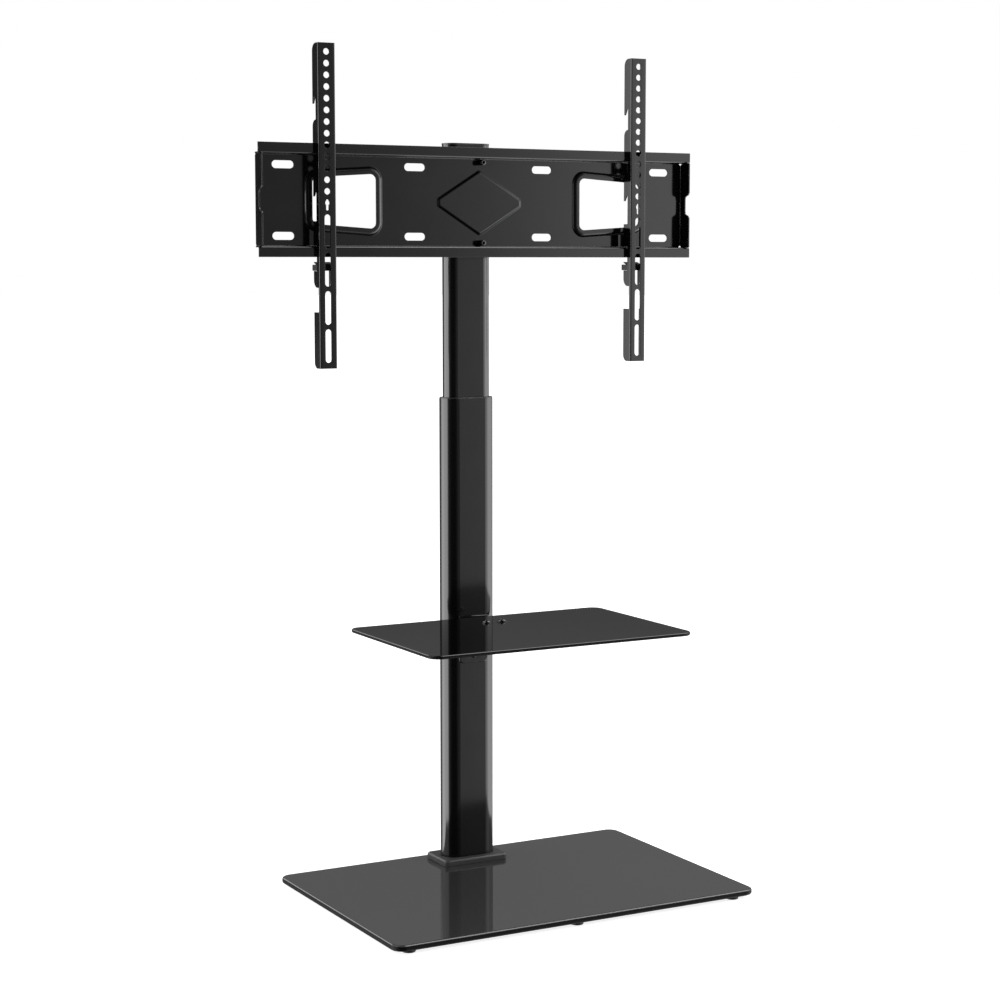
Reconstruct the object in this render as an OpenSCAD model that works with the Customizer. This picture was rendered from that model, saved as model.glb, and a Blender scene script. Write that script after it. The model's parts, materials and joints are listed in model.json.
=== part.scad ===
// Pedestal stand for a flat screen: glass floor plate, flat-oval telescopic column, glass shelf,
// and a swivelling hat-section plate that carries two hook-on arms.
// Millimetres. +Z up, -Y to the front. The origin is on the floor at the middle of the floor plate.

/* [Floor plate] */
// Width of the glass floor plate
base_w = 543.5; // [440:0.5:700]
// Depth of the glass floor plate
base_d = 372.6; // [300:0.1:460]
// Thickness of the floor glass
base_glass_t = 8.5; // [6:0.5:12]
// Corner radius of the floor glass
base_corner_r = 16; // [6:1:30]
// From the back edge of the floor glass to the column's axis
column_setback = 44.6; // [38:0.1:90]
// Diameter of a glide foot
foot_d = 18; // [12:1:24]
// Height of a glide foot
foot_h = 6; // [5.5:0.5:12]
// From a side edge of the glass to the centre of a foot
foot_side_inset = 27; // [16:1:60]
// From the front or back edge of the glass to the centre of a foot
foot_end_inset = 19.5; // [14:0.5:30]

/* [Column foot] */
// Thickness of the steel plate under the glass
under_plate_t = 3; // [2.5:0.5:4]
// Margin of the under plate around the column foot
under_plate_margin = 12; // [6:1:16]
// Thickness of the rubber sheets on both sides of the glass
gasket_t = 1; // [0.5:0.1:1.5]
// Thickness of the flange on the column's lower end
flange_t = 5; // [4:0.5:6]
// Width of the collar over the column foot
collar_w = 98.7; // [92:0.1:120]
// Depth of the collar over the column foot
collar_d = 62.4; // [52:0.1:64]
// Height of the collar above the glass
collar_h = 8.5; // [8.5:0.5:20]
// Corner radius of the collar
collar_r = 6; // [5:0.5:10]
// Bevel on the collar's top edge
collar_bevel = 2; // [1:0.5:3]
// Wall of the collar
collar_wall = 2.5; // [1.5:0.5:3]
// Top sheet of the collar
collar_top_t = 2; // [1:0.5:2.5]
// Thread diameter of the bolts that hold the column foot
base_bolt_d = 6; // [5:1:8]
// Half the spacing of those bolts across the column
base_bolt_x = 22; // [16:1:24]
// Half the spacing of those bolts from front to back
base_bolt_y = 9; // [8:0.5:10]

/* [Column] */
// Straight stretch of both tubes between their round ends
tube_flat = 40; // [34:0.5:60]
// Depth of the lower tube from its front to its back flat
lower_tube_depth = 39.1; // [38:0.1:46]
// Wall of the lower tube
lower_wall = 2; // [1.5:0.1:2.5]
// Height of the lower tube's top end above the floor
lower_tube_top = 672.3; // [600:0.1:700]
// Depth of the upper tube from its front to its back flat
upper_tube_depth = 29.2; // [26:0.1:30]
// Wall of the upper tube
upper_wall = 1.8; // [1.2:0.1:2.5]
// Length of the upper tube
upper_tube_l = 600; // [540:1:640]
// From the middle of the mounting plate to the top of the mast
mast_rise = 82; // [70:0.5:120]
// Length of the guide sleeve in the lower tube's mouth
liner_l = 120; // [80:1:130]
// Thickness of the sleeve's rim on the tube's end
liner_rim_t = 1.5; // [1:0.1:3]
// Height of the glide plug around the mast's lower end
glide_h = 30; // [20:1:40]
// Floor of the glide plug under the mast
glide_floor = 3; // [2:0.5:5]
// Thickness of the cap's flange on the mast
cap_t = 2.5; // [1.5:0.1:4]
// Overhang of the cap's flange around the mast
cap_lip = 0.4; // [0.2:0.1:0.6]
// Depth of the cap's plug inside the mast
cap_plug_l = 15; // [8:1:24]
// Thread diameter of the screws that lock the mast
lock_screw_d = 8; // [6:1:8]
// Diameter of a lock boss
lock_boss_d = 16; // [14:1:20]
// Length of a lock boss
lock_boss_l = 8; // [6:0.5:12]
// From the lower tube's top end to the upper lock screw
lock_drop = 32; // [20:1:40]
// Distance between the two lock screws
lock_pitch = 50; // [30:1:55]

/* [Shelf] */
// Width of the glass shelf
shelf_w = 394.3; // [300:0.1:500]
// Depth of the glass shelf
shelf_d = 255.3; // [180:0.1:270]
// Thickness of the shelf glass
shelf_t = 5; // [4:0.5:8]
// Corner radius of the shelf glass
shelf_corner_r = 16; // [6:1:30]
// Height of the shelf's top face above the floor
shelf_top = 366.7; // [300:0.1:380]
// Gap between the column's front and the shelf's back edge
shelf_gap = 9.35; // [4:0.05:20]
// Width of the shelf bracket
shelf_bracket_w = 45.6; // [44:0.1:60]
// Sheet thickness of the shelf bracket
shelf_bracket_t = 3; // [2:0.5:5]
// Height of the bracket's leg on the column
shelf_leg_h = 66.8; // [60:0.1:90]
// Rise of the leg above the shelf's top face
shelf_leg_rise = 0.8; // [0.5:0.1:5]
// Corner radius at the leg's lower end
shelf_leg_r = 7; // [2:0.5:12]
// Length of the tongue under the glass, from the glass's back edge
shelf_tongue_l = 71; // [66:1:100]
// Rubber sheet between the tongue and the glass
shelf_pad_t = 1; // [0.5:0.1:2]
// Thickness of the gussets under the tongue
gusset_t = 3; // [2:0.5:3]
// Length of a gusset under the tongue
gusset_l = 40; // [20:1:45]
// Height of a gusset on the leg
gusset_h = 30; // [20:1:40]
// Half the spacing of the gussets
gusset_x = 15; // [14:0.5:18]
// Half the spacing of the shelf screws
shelf_screw_x = 12; // [10:0.5:15]
// From the glass's back edge to the shelf screws
shelf_screw_inset = 54; // [52:0.5:60]

/* [Mounting plate] */
// Height of the mounting plate's centre above the floor
head_z = 941.1; // [920:0.1:1000]
// Width of the mounting plate over its lips
plate_w = 664.6; // [600:0.1:760]
// Height of the mounting plate over its lips
plate_h = 148; // [146:0.1:160]
// Sheet thickness of the mounting plate
plate_t = 2; // [1.5:0.1:2.3]
// From the lips' front face to the web's front face
hat_depth = 17.8; // [16.5:0.1:22]
// Height of a lip beyond the flange's outer face
lip_h = 12.5; // [11.5:0.1:13]
// Inner radius of the plate's and the arms' bends
bend_r = 1; // [0.5:0.1:1.5]
// From the lips' ends to the outer face of an end flap
flap_inset = 2.75; // [2:0.05:6]
// Reach of an end flap in front of the lips
flap_reach = 4.3; // [3:0.1:8]
// Gap between an end flap and the flanges
flap_gap = 0.3; // [0.3:0.1:2]
// Diameter of the relief holes in the corners between the end flaps and the flanges
relief_d = 5.2; // [4:0.1:7]
// Depth of the notch in an end flap's free edge
flap_notch_depth = 10.5; // [8:0.5:12]
// Half height of that notch at the free edge
flap_notch_mouth = 19.5; // [16:0.5:24]
// Half height of that notch at its bottom
flap_notch_neck = 8; // [6.5:0.1:11]
// Length of a fixing slot in the plate
plate_slot_l = 31; // [20:0.5:36]
// Width of a fixing slot in the plate
plate_slot_w = 10.3; // [6:0.1:11]
// From the plate's middle to the outer slots' centres
plate_slot_outer_x = 290.3; // [280:0.1:292]
// From the plate's middle to the inner slots' centres
plate_slot_inner_x = 98.3; // [90:0.1:110]
// From the plate's middle up to the slots' centres
plate_slot_z = 46.4; // [45:0.1:50]

/* [Windows and centre panel] */
// From the plate's middle to a window's near end
window_x0 = 157.5; // [150:0.5:170]
// From the plate's middle to the far end of the left and of the right window
window_x1s = [250, 255];
// Half height of a window at its near end
window_h0 = 36.4; // [30:0.1:37]
// Half height of a window at its far end
window_h1 = 30; // [24:0.1:34]
// Corner radius of a window
window_r = 8; // [5:0.5:12]
// Width of the raised rim around a window
rim_w = 10.7; // [9:0.1:11]
// Height of the raised rims
rim_rise = 3.5; // [2.5:0.1:4.5]
// Sloping width of the rims' and the panel's outer walls
emboss_slope = 3; // [2:0.1:4]
// Corner radius left on the panel's top face
panel_r = 1; // [0.5:0.1:2]
// Half width of the centre panel
panel_x = 64.4; // [50:0.1:70]
// Half height of the centre panel
panel_z = 43.9; // [36:0.1:45]
// Half height of the centre panel's blunt left and right ends
panel_blunt = 3; // [1:0.1:8]
// Height of the raised centre panel
panel_rise = 2.5; // [2.2:0.1:3.5]

/* [Swivel] */
// Width of the bracket on the mast
column_bracket_w = 44; // [36:1:50]
// Height of the bracket on the mast
column_bracket_h = 96; // [92:1:98]
// Sheet thickness of both swivel brackets
swivel_t = 3; // [2.5:0.5:4]
// Width of the bracket on the plate
plate_bracket_w = 50; // [40:1:60]
// Height of the bracket on the plate
plate_bracket_h = 126; // [124:1:130]
// Thickness of an ear
ear_t = 4; // [3:0.5:5]
// Radius of an ear around the pivot
ear_r = 8; // [7:0.5:9]
// Free space between an ear and the facing bracket
ear_gap = 0.95; // [0.5:0.05:2]
// Half the span over the outer faces of the mast bracket's ears
inner_ear_z = 28; // [22:0.5:30]
// Thickness of a friction washer
pivot_washer_t = 0.8; // [0.5:0.1:1.5]
// Diameter of the pivot bolt
pivot_d = 8; // [6:0.5:8]
// Half the spacing of the mast bracket's screws from side to side
column_screw_x = 12; // [10:0.5:14]
// Half the spacing of the mast bracket's screws in height
column_screw_z = 40; // [37:0.5:41]
// Half the spacing of the two screws at the plate's centre
plate_screw_z = 54.6; // [53.5:0.1:54.6]
// Head diameter of those screws
plate_screw_head_d = 7.8; // [7:0.1:7.8]
// Reach of those heads in front of the web
plate_screw_reach = 13; // [8:0.5:14]
// Thread diameter of those screws
plate_screw_d = 6; // [4:0.5:6]

/* [Arms] */
// Distance of an arm's middle from the plate's middle
arm_x = 239.2; // [60:0.1:300]
// Width of an arm
arm_w = 23.4; // [22:0.1:30]
// Length of an arm
arm_l = 423.1; // [420:0.1:520]
// Depth of an arm from its front face to its left flange's rear edge
arm_depth = 18.8; // [18:0.1:19.5]
// Depth of an arm from its front face to its right flange's rear edge
arm_right_depth = 13.7; // [13:0.1:18]
// Sheet thickness of an arm
arm_t = 2; // [1.5:0.1:2.3]
// From an arm's front face to the front face of the plate's lips
arm_stand_off = 9.5; // [9.2:0.1:10]
// Corner radius of a flange at the arm's top end
arm_top_r = 10; // [2:0.5:12]
// Corner radius of a flange at the arm's bottom end
arm_bottom_r = 9; // [2:0.5:10]
// Diameter of a screw hole
arm_hole_d = 8.4; // [6:0.1:9]
// From the arm's top end to the first screw hole
arm_hole_drop = 11.4; // [8:0.1:12]
// Distance from hole to hole
arm_hole_pitch = 15; // [14:0.1:15.5]
// Number of screw holes above the keyhole
arm_holes = 13; // [8:1:13]
// Diameter of the keyhole's round part, which stands one pitch below the last screw hole
keyhole_d = 6.4; // [5:0.1:8]
// Width of the keyhole's slot
keyhole_slot_w = 3.7; // [3:0.1:4.5]
// Length of the keyhole's slot
keyhole_slot_l = 14.6; // [12:0.1:16]
// From the middle of the keyhole's round part down to the middle of its slot
keyhole_shift = 2.6; // [1:0.1:4]
// Length of a slot in an arm
arm_slot_l = 44; // [24:0.5:46]
// Width of a slot in an arm
arm_slot_w = 8.5; // [6:0.1:9]
// From the arm's top end to the middle of the first slot
arm_slot_drop = 243.3; // [240:0.1:246]
// Distance from slot to slot
arm_slot_pitch = 50; // [48:0.5:50.5]
// Number of slots
arm_slots = 4; // [2:1:4]
// From the arm's front face to the inner edge of the hook notches
notch_depth = 8.9; // [7:0.1:9]
// Width of a hook notch at its roof
notch_roof = 3; // [2.8:0.1:4]
// Thickness of a hook's tooth at its tip
tooth_tip_t = 2.2; // [1.5:0.1:3]
// From the arm's front face to the rear edge of its waist
waist_depth = 3.8; // [3.2:0.1:6]
// From the arm's top end to the upper, the hung and the lower hook notch
hook_drops = [69.3, 128.5, 190.8];
// Length of the tooth at each of those notches
tooth_lengths = [8.5, 8.5, 6.9];
// Height of each of those notches at its rear
notch_heights = [29.2, 30, 39.2];
// Rounding of the shoulder below the upper two notches
shoulder_r = 8.8; // [4:0.1:9]
// From the arm's top end to the latch notch
latch_notch_drop = 261; // [259:0.1:262]
// Height of the latch notch
latch_notch_h = 34; // [32:0.1:35]
// Height of the ear below the latch notch
latch_ear_h = 22; // [18:0.5:26]
// Corner radius of that ear
latch_ear_r = 10.5; // [2:0.5:12]
// Height of the arm's waist
waist_h = 32; // [20:0.5:40]

/* [Latches] */
// Height of a latch's cross block
latch_block_h = 8; // [6:0.1:8]
// From the arm's front face to the rear end of the cross block
latch_rear = 24.8; // [22:0.1:25]
// Rounding of the cross block's rear end
latch_rear_r = 1.5; // [0.5:0.1:3]
// Width of one of the latch's two legs
latch_leg_w = 4.4; // [3:0.1:4.5]
// Length of a leg below the cross block's top
latch_leg_l = 29; // [20:0.5:30]
// Rise of the latch's hook above the cross block
latch_hook_rise = 3.6; // [3:0.1:5]
// From the arm's front face to the hook's tip
latch_hook_reach = 19.9; // [17:0.1:21]
// Thickness of the latch's hook
latch_hook_t = 1.8; // [1.5:0.1:3]

/* [Hidden] */
// Clearance between pieces that slide in each other
slide_clear = 0.3;
// Clearance between pieces that are pressed or set into each other
set_clear = 0.1;
// Radial clearance of a thread in its nut and of the pivot in its ears
thread_clear = 0.05;
// Radial clearance of a screw in its hole
screw_clear = 0.3;
// How far a cut runs past the faces that it opens
overrun = 5;
$fn = 64;

// Fastener sizes
m6_d = 6;
m6_head_d = 10.5;
m6_head_h = 2.8;
m6_socket_af = 4;
m6_socket_depth = 1.6;
m6_nut_af = 10;
m6_nut_h = 5;
m6_washer_d = 13;
m6_washer_t = 0.8;
rivet_nut_d = 9;
rivet_nut_bulge_d = 12;
rivet_nut_bulge_l = 3;
rivet_nut_l = 12;
pivot_head_af = 13;
pivot_head_h = 5.3;
pivot_nut_h = 6.5;
pivot_thread_run = 2;
pivot_washer_d = 16;
lock_head_d = 13;
lock_head_h = 8;
lock_head_gap = 2;
lock_socket_af = 6;
lock_socket_depth = 4;
csk_head_share = 2;
base_hole_clear = 1;

// Floor plate and column foot, from the floor up
column_y = base_d / 2 - column_setback;
base_glass_z = foot_h;
base_top = base_glass_z + base_glass_t;
under_plate_z = base_glass_z - gasket_t - under_plate_t;
flange_z = base_top + gasket_t;
flange_top = flange_z + flange_t;
flange_w = collar_w - 2 * collar_wall - 2 * slide_clear - 2 * set_clear;
flange_d = collar_d - 2 * collar_wall - 2 * slide_clear - 2 * set_clear;
flange_r = collar_r - collar_wall;

// Column
lower_front = column_y - lower_tube_depth / 2;
lower_back = column_y + lower_tube_depth / 2;
upper_front = column_y - upper_tube_depth / 2;
upper_back = column_y + upper_tube_depth / 2;
lower_inner_depth = lower_tube_depth - 2 * lower_wall;
upper_inner_depth = upper_tube_depth - 2 * upper_wall;
mast_top = head_z + mast_rise;
upper_tube_top = mast_top - cap_t;
upper_tube_z = upper_tube_top - upper_tube_l;

// Shelf
shelf_z = shelf_top - shelf_t;
shelf_back = lower_front - shelf_gap;
tongue_top = shelf_z - shelf_pad_t;
tongue_z = tongue_top - shelf_bracket_t;
tongue_end = shelf_back - shelf_tongue_l;
leg_front = lower_front - shelf_bracket_t;
leg_z = shelf_top + shelf_leg_rise - shelf_leg_h;
shelf_screw_y = shelf_back - shelf_screw_inset;
shelf_nut_z = tongue_z - m6_nut_h;
shelf_bracket_screw_zs = [tongue_z - shelf_bracket_w / 3, leg_z + shelf_leg_r + m6_head_d / 2];

// Swivel and plate, from the mast to the front
pivot_y = upper_front - swivel_t - ear_r - ear_gap;
plate_bracket_y = pivot_y - ear_r - ear_gap - swivel_t;
web_y = plate_bracket_y - plate_t;
lip_y = web_y - hat_depth;
flange_out = plate_h / 2 - lip_h;
flange_in = flange_out - plate_t;
bend_out = bend_r + plate_t;
flap_x = plate_w / 2 - flap_inset;
flap_y = lip_y - flap_reach;
outer_ear_z = inner_ear_z + pivot_washer_t + slide_clear;

// Arms
arm_y = lip_y - arm_stand_off;
arm_top = head_z + plate_h / 2 + slide_clear + hook_drops[1];
arm_bend_out = bend_r + arm_t;
latch_ear_drop = latch_notch_drop + latch_notch_h;
waist_drop = latch_ear_drop + latch_ear_h;
latch_block_z = -latch_ear_drop + slide_clear;
latch_block_top = latch_block_z + latch_block_h;
latch_front = notch_depth + slide_clear;
latch_hook_y = arm_stand_off + plate_t + screw_clear;

// Outline with straight sides and round corners, from its corner centres in counter-clockwise order
module round_cornered(centres, r) {
    n = len(centres);
    for (c = centres) translate(c) circle(r);
    polygon([for (i = [0 : n - 1])
        let (a = centres[i], b = centres[(i + 1) % n], d = (b - a) / norm(b - a), out = [d[1], -d[0]])
        each [a + r * out, b + r * out]]);
}

// Rectangle with round corners, centred on the origin
module rounded_rect(w, d, r) {
    x = w / 2 - r;
    y = d / 2 - r;
    round_cornered([[-x, -y], [x, -y], [x, y], [-x, y]], r);
}

// Flat-oval outline of a tube of the given depth
module flat_oval(depth) {
    for (side = [-1, 1]) translate([side * tube_flat / 2, 0]) circle(d = depth);
    square([tube_flat, depth], center = true);
}

// Slot outline with round ends, long in X
module slot_outline(l, w) {
    for (side = [-1, 1]) translate([side * (l - w) / 2, 0]) circle(d = w);
    square([l - w, w], center = true);
}

// Raised step with sloping walls on the XY plane: r0 around the centres at its foot, r1 at its top
module sloped_step(centres, r0, r1, h) {
    hull() for (c = centres) translate(c) cylinder(r1 = r0, r2 = r1, h = h, $fn = 32);
}

// A quarter of a bend in sheet, with its open side towards the corner at the origin
module bend(t, turn) {
    rotate(turn) difference() {
        intersection() {
            circle(bend_r + t);
            square(bend_r + t);
        }
        circle(bend_r);
    }
}

// Extrudes an outline drawn in Y and Z along X, centred on the origin
module along_x(w) {
    rotate([90, 0, 90]) linear_extrude(w, center = true) children();
}

// Stands a piece drawn on the XY plane up on its edge, so that its +Z points to the front
module facing_front(y, z) {
    translate([0, y, z]) rotate([90, 0, 0]) children();
}

// Hexagon prism by its width across flats
module hexagon(af, h) {
    cylinder(r = af / sqrt(3), h = h, $fn = 6);
}

// Domed head of a socket screw, seated on the XY plane
module button_head(d, h, af, socket) {
    dome = (d * d / 4 + h * h) / (2 * h);
    difference() {
        intersection() {
            translate([0, 0, h - dome]) sphere(dome);
            cylinder(d = d, h = h);
        }
        translate([0, 0, h - socket]) hexagon(af, socket + overrun);
    }
}

// Button-head screw with its head on the XY plane and its shank below it
module button_screw(l) {
    button_head(m6_head_d, m6_head_h, m6_socket_af, m6_socket_depth);
    translate([0, 0, -l]) cylinder(d = m6_d, h = l);
}

// Nut with its upper face on the XY plane
module nut(af, h, d) {
    translate([0, 0, -h]) difference() {
        hexagon(af, h);
        translate([0, 0, -overrun]) cylinder(r = d / 2 + thread_clear, h = h + 2 * overrun);
    }
}

// Blind-rivet nut set in a tube wall, with its mouth on the XY plane
module rivet_nut(wall) {
    difference() {
        union() {
            translate([0, 0, -rivet_nut_l]) cylinder(d = rivet_nut_d, h = rivet_nut_l);
            translate([0, 0, -wall - set_clear - rivet_nut_bulge_l])
                cylinder(d = rivet_nut_bulge_d, h = rivet_nut_bulge_l);
        }
        translate([0, 0, -rivet_nut_l - overrun])
            cylinder(r = m6_d / 2 + thread_clear, h = rivet_nut_l + 2 * overrun);
    }
}

// Hole for a blind-rivet nut in a tube wall whose outer face is the XY plane
module rivet_hole(wall) {
    translate([0, 0, -wall - overrun]) cylinder(r = rivet_nut_d / 2 + set_clear, h = wall + 2 * overrun);
}

// Places of the bolts around the column's axis
module at_base_bolts() {
    for (sx = [-1, 1], sy = [-1, 1])
        translate([sx * base_bolt_x, column_y + sy * base_bolt_y, 0]) children();
}

module at_shelf_screws(z) {
    for (side = [-1, 1]) translate([side * shelf_screw_x, shelf_screw_y, z]) children();
}

module at_shelf_bracket_screws(y) {
    for (z = shelf_bracket_screw_zs) facing_front(y, z) children();
}

module at_column_screws(y) {
    for (sx = [-1, 1], sz = [-1, 1])
        translate([sx * column_screw_x, 0, 0]) facing_front(y, head_z + sz * column_screw_z) children();
}

module at_plate_screws(y) {
    for (side = [-1, 1]) facing_front(y, head_z + side * plate_screw_z) children();
}

module at_lock_screws(y) {
    for (i = [0 : 1])
        translate([0, y, lower_tube_top - lock_drop - i * lock_pitch]) rotate([-90, 0, 0]) children();
}

// Floor plate

module base_glass() {
    color([0.1, 0.1, 0.11]) translate([0, 0, base_glass_z]) difference() {
        linear_extrude(base_glass_t) rounded_rect(base_w, base_d, base_corner_r);
        translate([0, 0, -overrun]) at_base_bolts()
            cylinder(r = base_bolt_d / 2 + base_hole_clear, h = base_glass_t + 2 * overrun);
    }
}

module base_feet() {
    x = base_w / 2 - foot_side_inset;
    y = base_d / 2 - foot_end_inset;
    color([0.05, 0.05, 0.05]) for (p = [[-x, -y], [0, -y], [x, -y], [-x, y], [x, y]])
        translate(p) cylinder(d = foot_d, h = foot_h);
}

// Sheet of the column foot's outline with holes for its bolts
module foot_sheet(margin, z, t, clear) {
    translate([0, 0, z]) difference() {
        translate([0, column_y, 0]) linear_extrude(t)
            rounded_rect(flange_w + 2 * margin, flange_d + 2 * margin, flange_r + margin);
        translate([0, 0, -overrun]) at_base_bolts()
            cylinder(r = base_bolt_d / 2 + clear, h = t + 2 * overrun);
    }
}

// Countersunk head of a bolt, widened by a clearance
module base_bolt_head(clear) {
    cylinder(r1 = base_bolt_d + clear, r2 = base_bolt_d / csk_head_share + clear, h = base_bolt_d / csk_head_share);
}

module base_under_plate() {
    color([0.2, 0.2, 0.2]) difference() {
        foot_sheet(under_plate_margin, under_plate_z, under_plate_t, screw_clear);
        translate([0, 0, under_plate_z]) at_base_bolts() base_bolt_head(screw_clear);
    }
}

module base_gasket_lower() {
    color([0.05, 0.05, 0.05]) foot_sheet(under_plate_margin, base_glass_z - gasket_t, gasket_t, base_hole_clear);
}

module base_gasket_upper() {
    color([0.05, 0.05, 0.05]) foot_sheet(0, base_top, gasket_t, base_hole_clear);
}

module base_bolts() {
    color([0.7, 0.7, 0.7]) at_base_bolts() translate([0, 0, under_plate_z]) {
        base_bolt_head(0);
        cylinder(d = base_bolt_d, h = flange_top - under_plate_z);
    }
}

module column_foot() {
    color([0.2, 0.2, 0.2]) foot_sheet(0, flange_z, flange_t, thread_clear);
}

module base_collar() {
    x = collar_w / 2 - collar_r;
    y = collar_d / 2 - collar_r;
    color([0.22, 0.22, 0.23]) translate([0, column_y, base_top]) difference() {
        union() {
            linear_extrude(collar_h - collar_bevel) rounded_rect(collar_w, collar_d, collar_r);
            translate([0, 0, collar_h - collar_bevel])
                sloped_step([[-x, -y], [x, -y], [x, y], [-x, y]], collar_r, collar_r - collar_bevel, collar_bevel);
        }
        translate([0, 0, -overrun]) linear_extrude(collar_h - collar_top_t + overrun)
            rounded_rect(collar_w - 2 * collar_wall, collar_d - 2 * collar_wall, collar_r - collar_wall);
        linear_extrude(collar_h + overrun) flat_oval(lower_tube_depth + 2 * slide_clear);
    }
}

// Column

// Length of flat-oval tube that stands on z around the column's axis
module oval_tube(outer_depth, inner_depth, z, l) {
    translate([0, column_y, z]) difference() {
        linear_extrude(l) flat_oval(outer_depth);
        translate([0, 0, -overrun]) linear_extrude(l + 2 * overrun) flat_oval(inner_depth);
    }
}

module lower_tube() {
    color([0.2, 0.2, 0.21]) difference() {
        oval_tube(lower_tube_depth, lower_inner_depth, flange_top, lower_tube_top - flange_top);
        at_lock_screws(lower_back - lower_wall - overrun)
            cylinder(r = lock_screw_d / 2 + screw_clear, h = lower_wall + 2 * overrun);
        at_shelf_bracket_screws(lower_front) rivet_hole(lower_wall);
    }
}

module tube_liner() {
    inner_depth = upper_tube_depth + 2 * slide_clear;
    color([0.12, 0.12, 0.12]) difference() {
        union() {
            oval_tube(lower_inner_depth - 2 * set_clear, inner_depth, lower_tube_top - liner_l, liner_l);
            oval_tube(lower_tube_depth - lower_wall / 2, inner_depth, lower_tube_top, liner_rim_t);
        }
        at_lock_screws(upper_back)
            cylinder(r = lock_screw_d / 2 + screw_clear, h = lower_tube_depth);
    }
}

module lock_bosses() {
    color([0.2, 0.2, 0.21]) at_lock_screws(lower_back) difference() {
        cylinder(d = lock_boss_d, h = lock_boss_l);
        translate([0, 0, -overrun])
            cylinder(r = lock_screw_d / 2 + thread_clear, h = lock_boss_l + 2 * overrun);
    }
}

module lock_screws() {
    shank = lower_back - upper_back - slide_clear + lock_boss_l + lock_head_gap;
    color([0.12, 0.12, 0.12]) at_lock_screws(upper_back + slide_clear) {
        cylinder(d = lock_screw_d, h = shank);
        translate([0, 0, shank]) difference() {
            cylinder(d = lock_head_d, h = lock_head_h);
            translate([0, 0, lock_head_h - lock_socket_depth]) hexagon(lock_socket_af, lock_socket_depth + overrun);
        }
    }
}

module upper_tube() {
    color([0.22, 0.22, 0.23]) difference() {
        oval_tube(upper_tube_depth, upper_inner_depth, upper_tube_z, upper_tube_l);
        at_column_screws(upper_front) rivet_hole(upper_wall);
    }
}

module mast_glide() {
    outer_depth = lower_inner_depth - 2 * slide_clear;
    color([0.08, 0.08, 0.08]) translate([0, column_y, upper_tube_z - glide_floor]) difference() {
        linear_extrude(glide_h) flat_oval(outer_depth);
        translate([0, 0, glide_floor]) linear_extrude(glide_h) flat_oval(upper_tube_depth + 2 * set_clear);
    }
}

module mast_cap() {
    plug_depth = upper_inner_depth - 2 * set_clear;
    color([0.1, 0.1, 0.1]) {
        translate([0, column_y, upper_tube_top]) linear_extrude(cap_t) flat_oval(upper_tube_depth + 2 * cap_lip);
        oval_tube(plug_depth, plug_depth - 2 * upper_wall, upper_tube_top - cap_plug_l, cap_plug_l);
    }
}

// Shelf

module shelf_glass() {
    color([0.08, 0.08, 0.09]) difference() {
        translate([0, shelf_back - shelf_d / 2, shelf_z]) linear_extrude(shelf_t)
            rounded_rect(shelf_w, shelf_d, shelf_corner_r);
        at_shelf_screws(shelf_z - overrun) cylinder(r = m6_d / 2 + screw_clear, h = shelf_t + 2 * overrun);
    }
}

module shelf_bracket() {
    leg_x = shelf_bracket_w / 2;
    color([0.2, 0.2, 0.21]) difference() {
        union() {
            facing_front(lower_front, 0) linear_extrude(shelf_bracket_t) {
                for (side = [-1, 1])
                    translate([side * (leg_x - shelf_leg_r), leg_z + shelf_leg_r]) circle(shelf_leg_r);
                translate([-leg_x, leg_z + shelf_leg_r]) square([shelf_bracket_w, shelf_leg_h - shelf_leg_r]);
                translate([-leg_x + shelf_leg_r, leg_z]) square([shelf_bracket_w - 2 * shelf_leg_r, shelf_leg_r]);
            }
            translate([-leg_x, tongue_end, tongue_z])
                cube([shelf_bracket_w, lower_front - tongue_end, shelf_bracket_t]);
            for (side = [-1, 1]) translate([side * gusset_x, 0, 0]) along_x(gusset_t)
                polygon([[leg_front, tongue_z], [leg_front - gusset_l, tongue_z], [leg_front, tongue_z - gusset_h]]);
        }
        at_shelf_screws(tongue_z - overrun) cylinder(r = m6_d / 2 + screw_clear, h = shelf_bracket_t + 2 * overrun);
        at_shelf_bracket_screws(lower_front + overrun)
            cylinder(r = m6_d / 2 + screw_clear, h = shelf_bracket_t + 2 * overrun);
    }
}

module shelf_rivet_nuts() {
    color([0.7, 0.7, 0.7]) at_shelf_bracket_screws(lower_front) rivet_nut(lower_wall);
}

module shelf_bracket_screws() {
    color([0.12, 0.12, 0.12]) at_shelf_bracket_screws(leg_front) button_screw(shelf_bracket_t + rivet_nut_l);
}

module shelf_pad() {
    color([0.05, 0.05, 0.05]) difference() {
        translate([-shelf_bracket_w / 2, tongue_end, tongue_top])
            cube([shelf_bracket_w, shelf_tongue_l, shelf_pad_t]);
        at_shelf_screws(tongue_top - overrun) cylinder(r = m6_d / 2 + screw_clear, h = shelf_pad_t + 2 * overrun);
    }
}

module shelf_washers() {
    color([0.3, 0.3, 0.3]) at_shelf_screws(shelf_top) difference() {
        cylinder(d = m6_washer_d, h = m6_washer_t);
        translate([0, 0, -overrun]) cylinder(r = m6_d / 2 + screw_clear, h = m6_washer_t + 2 * overrun);
    }
}

module shelf_screws() {
    head_z0 = shelf_top + m6_washer_t;
    color([0.15, 0.15, 0.15]) at_shelf_screws(head_z0) button_screw(head_z0 - shelf_nut_z);
}

module shelf_nuts() {
    color([0.6, 0.6, 0.6]) at_shelf_screws(tongue_z) nut(m6_nut_af, m6_nut_h, m6_d);
}

// Swivel

// Ear in the XY plane around the pivot, reaching to the sheet at y
module ear(y, t) {
    translate([0, pivot_y, 0]) cylinder(r = ear_r, h = t);
    translate([-ear_r, min(y, pivot_y), 0]) cube([2 * ear_r, abs(y - pivot_y), t]);
}

// Bore for the pivot bolt through a bracket's two ears
module pivot_bore(half_span) {
    translate([0, pivot_y, head_z - half_span - overrun])
        cylinder(r = pivot_d / 2 + thread_clear, h = 2 * (half_span + overrun));
}

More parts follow.
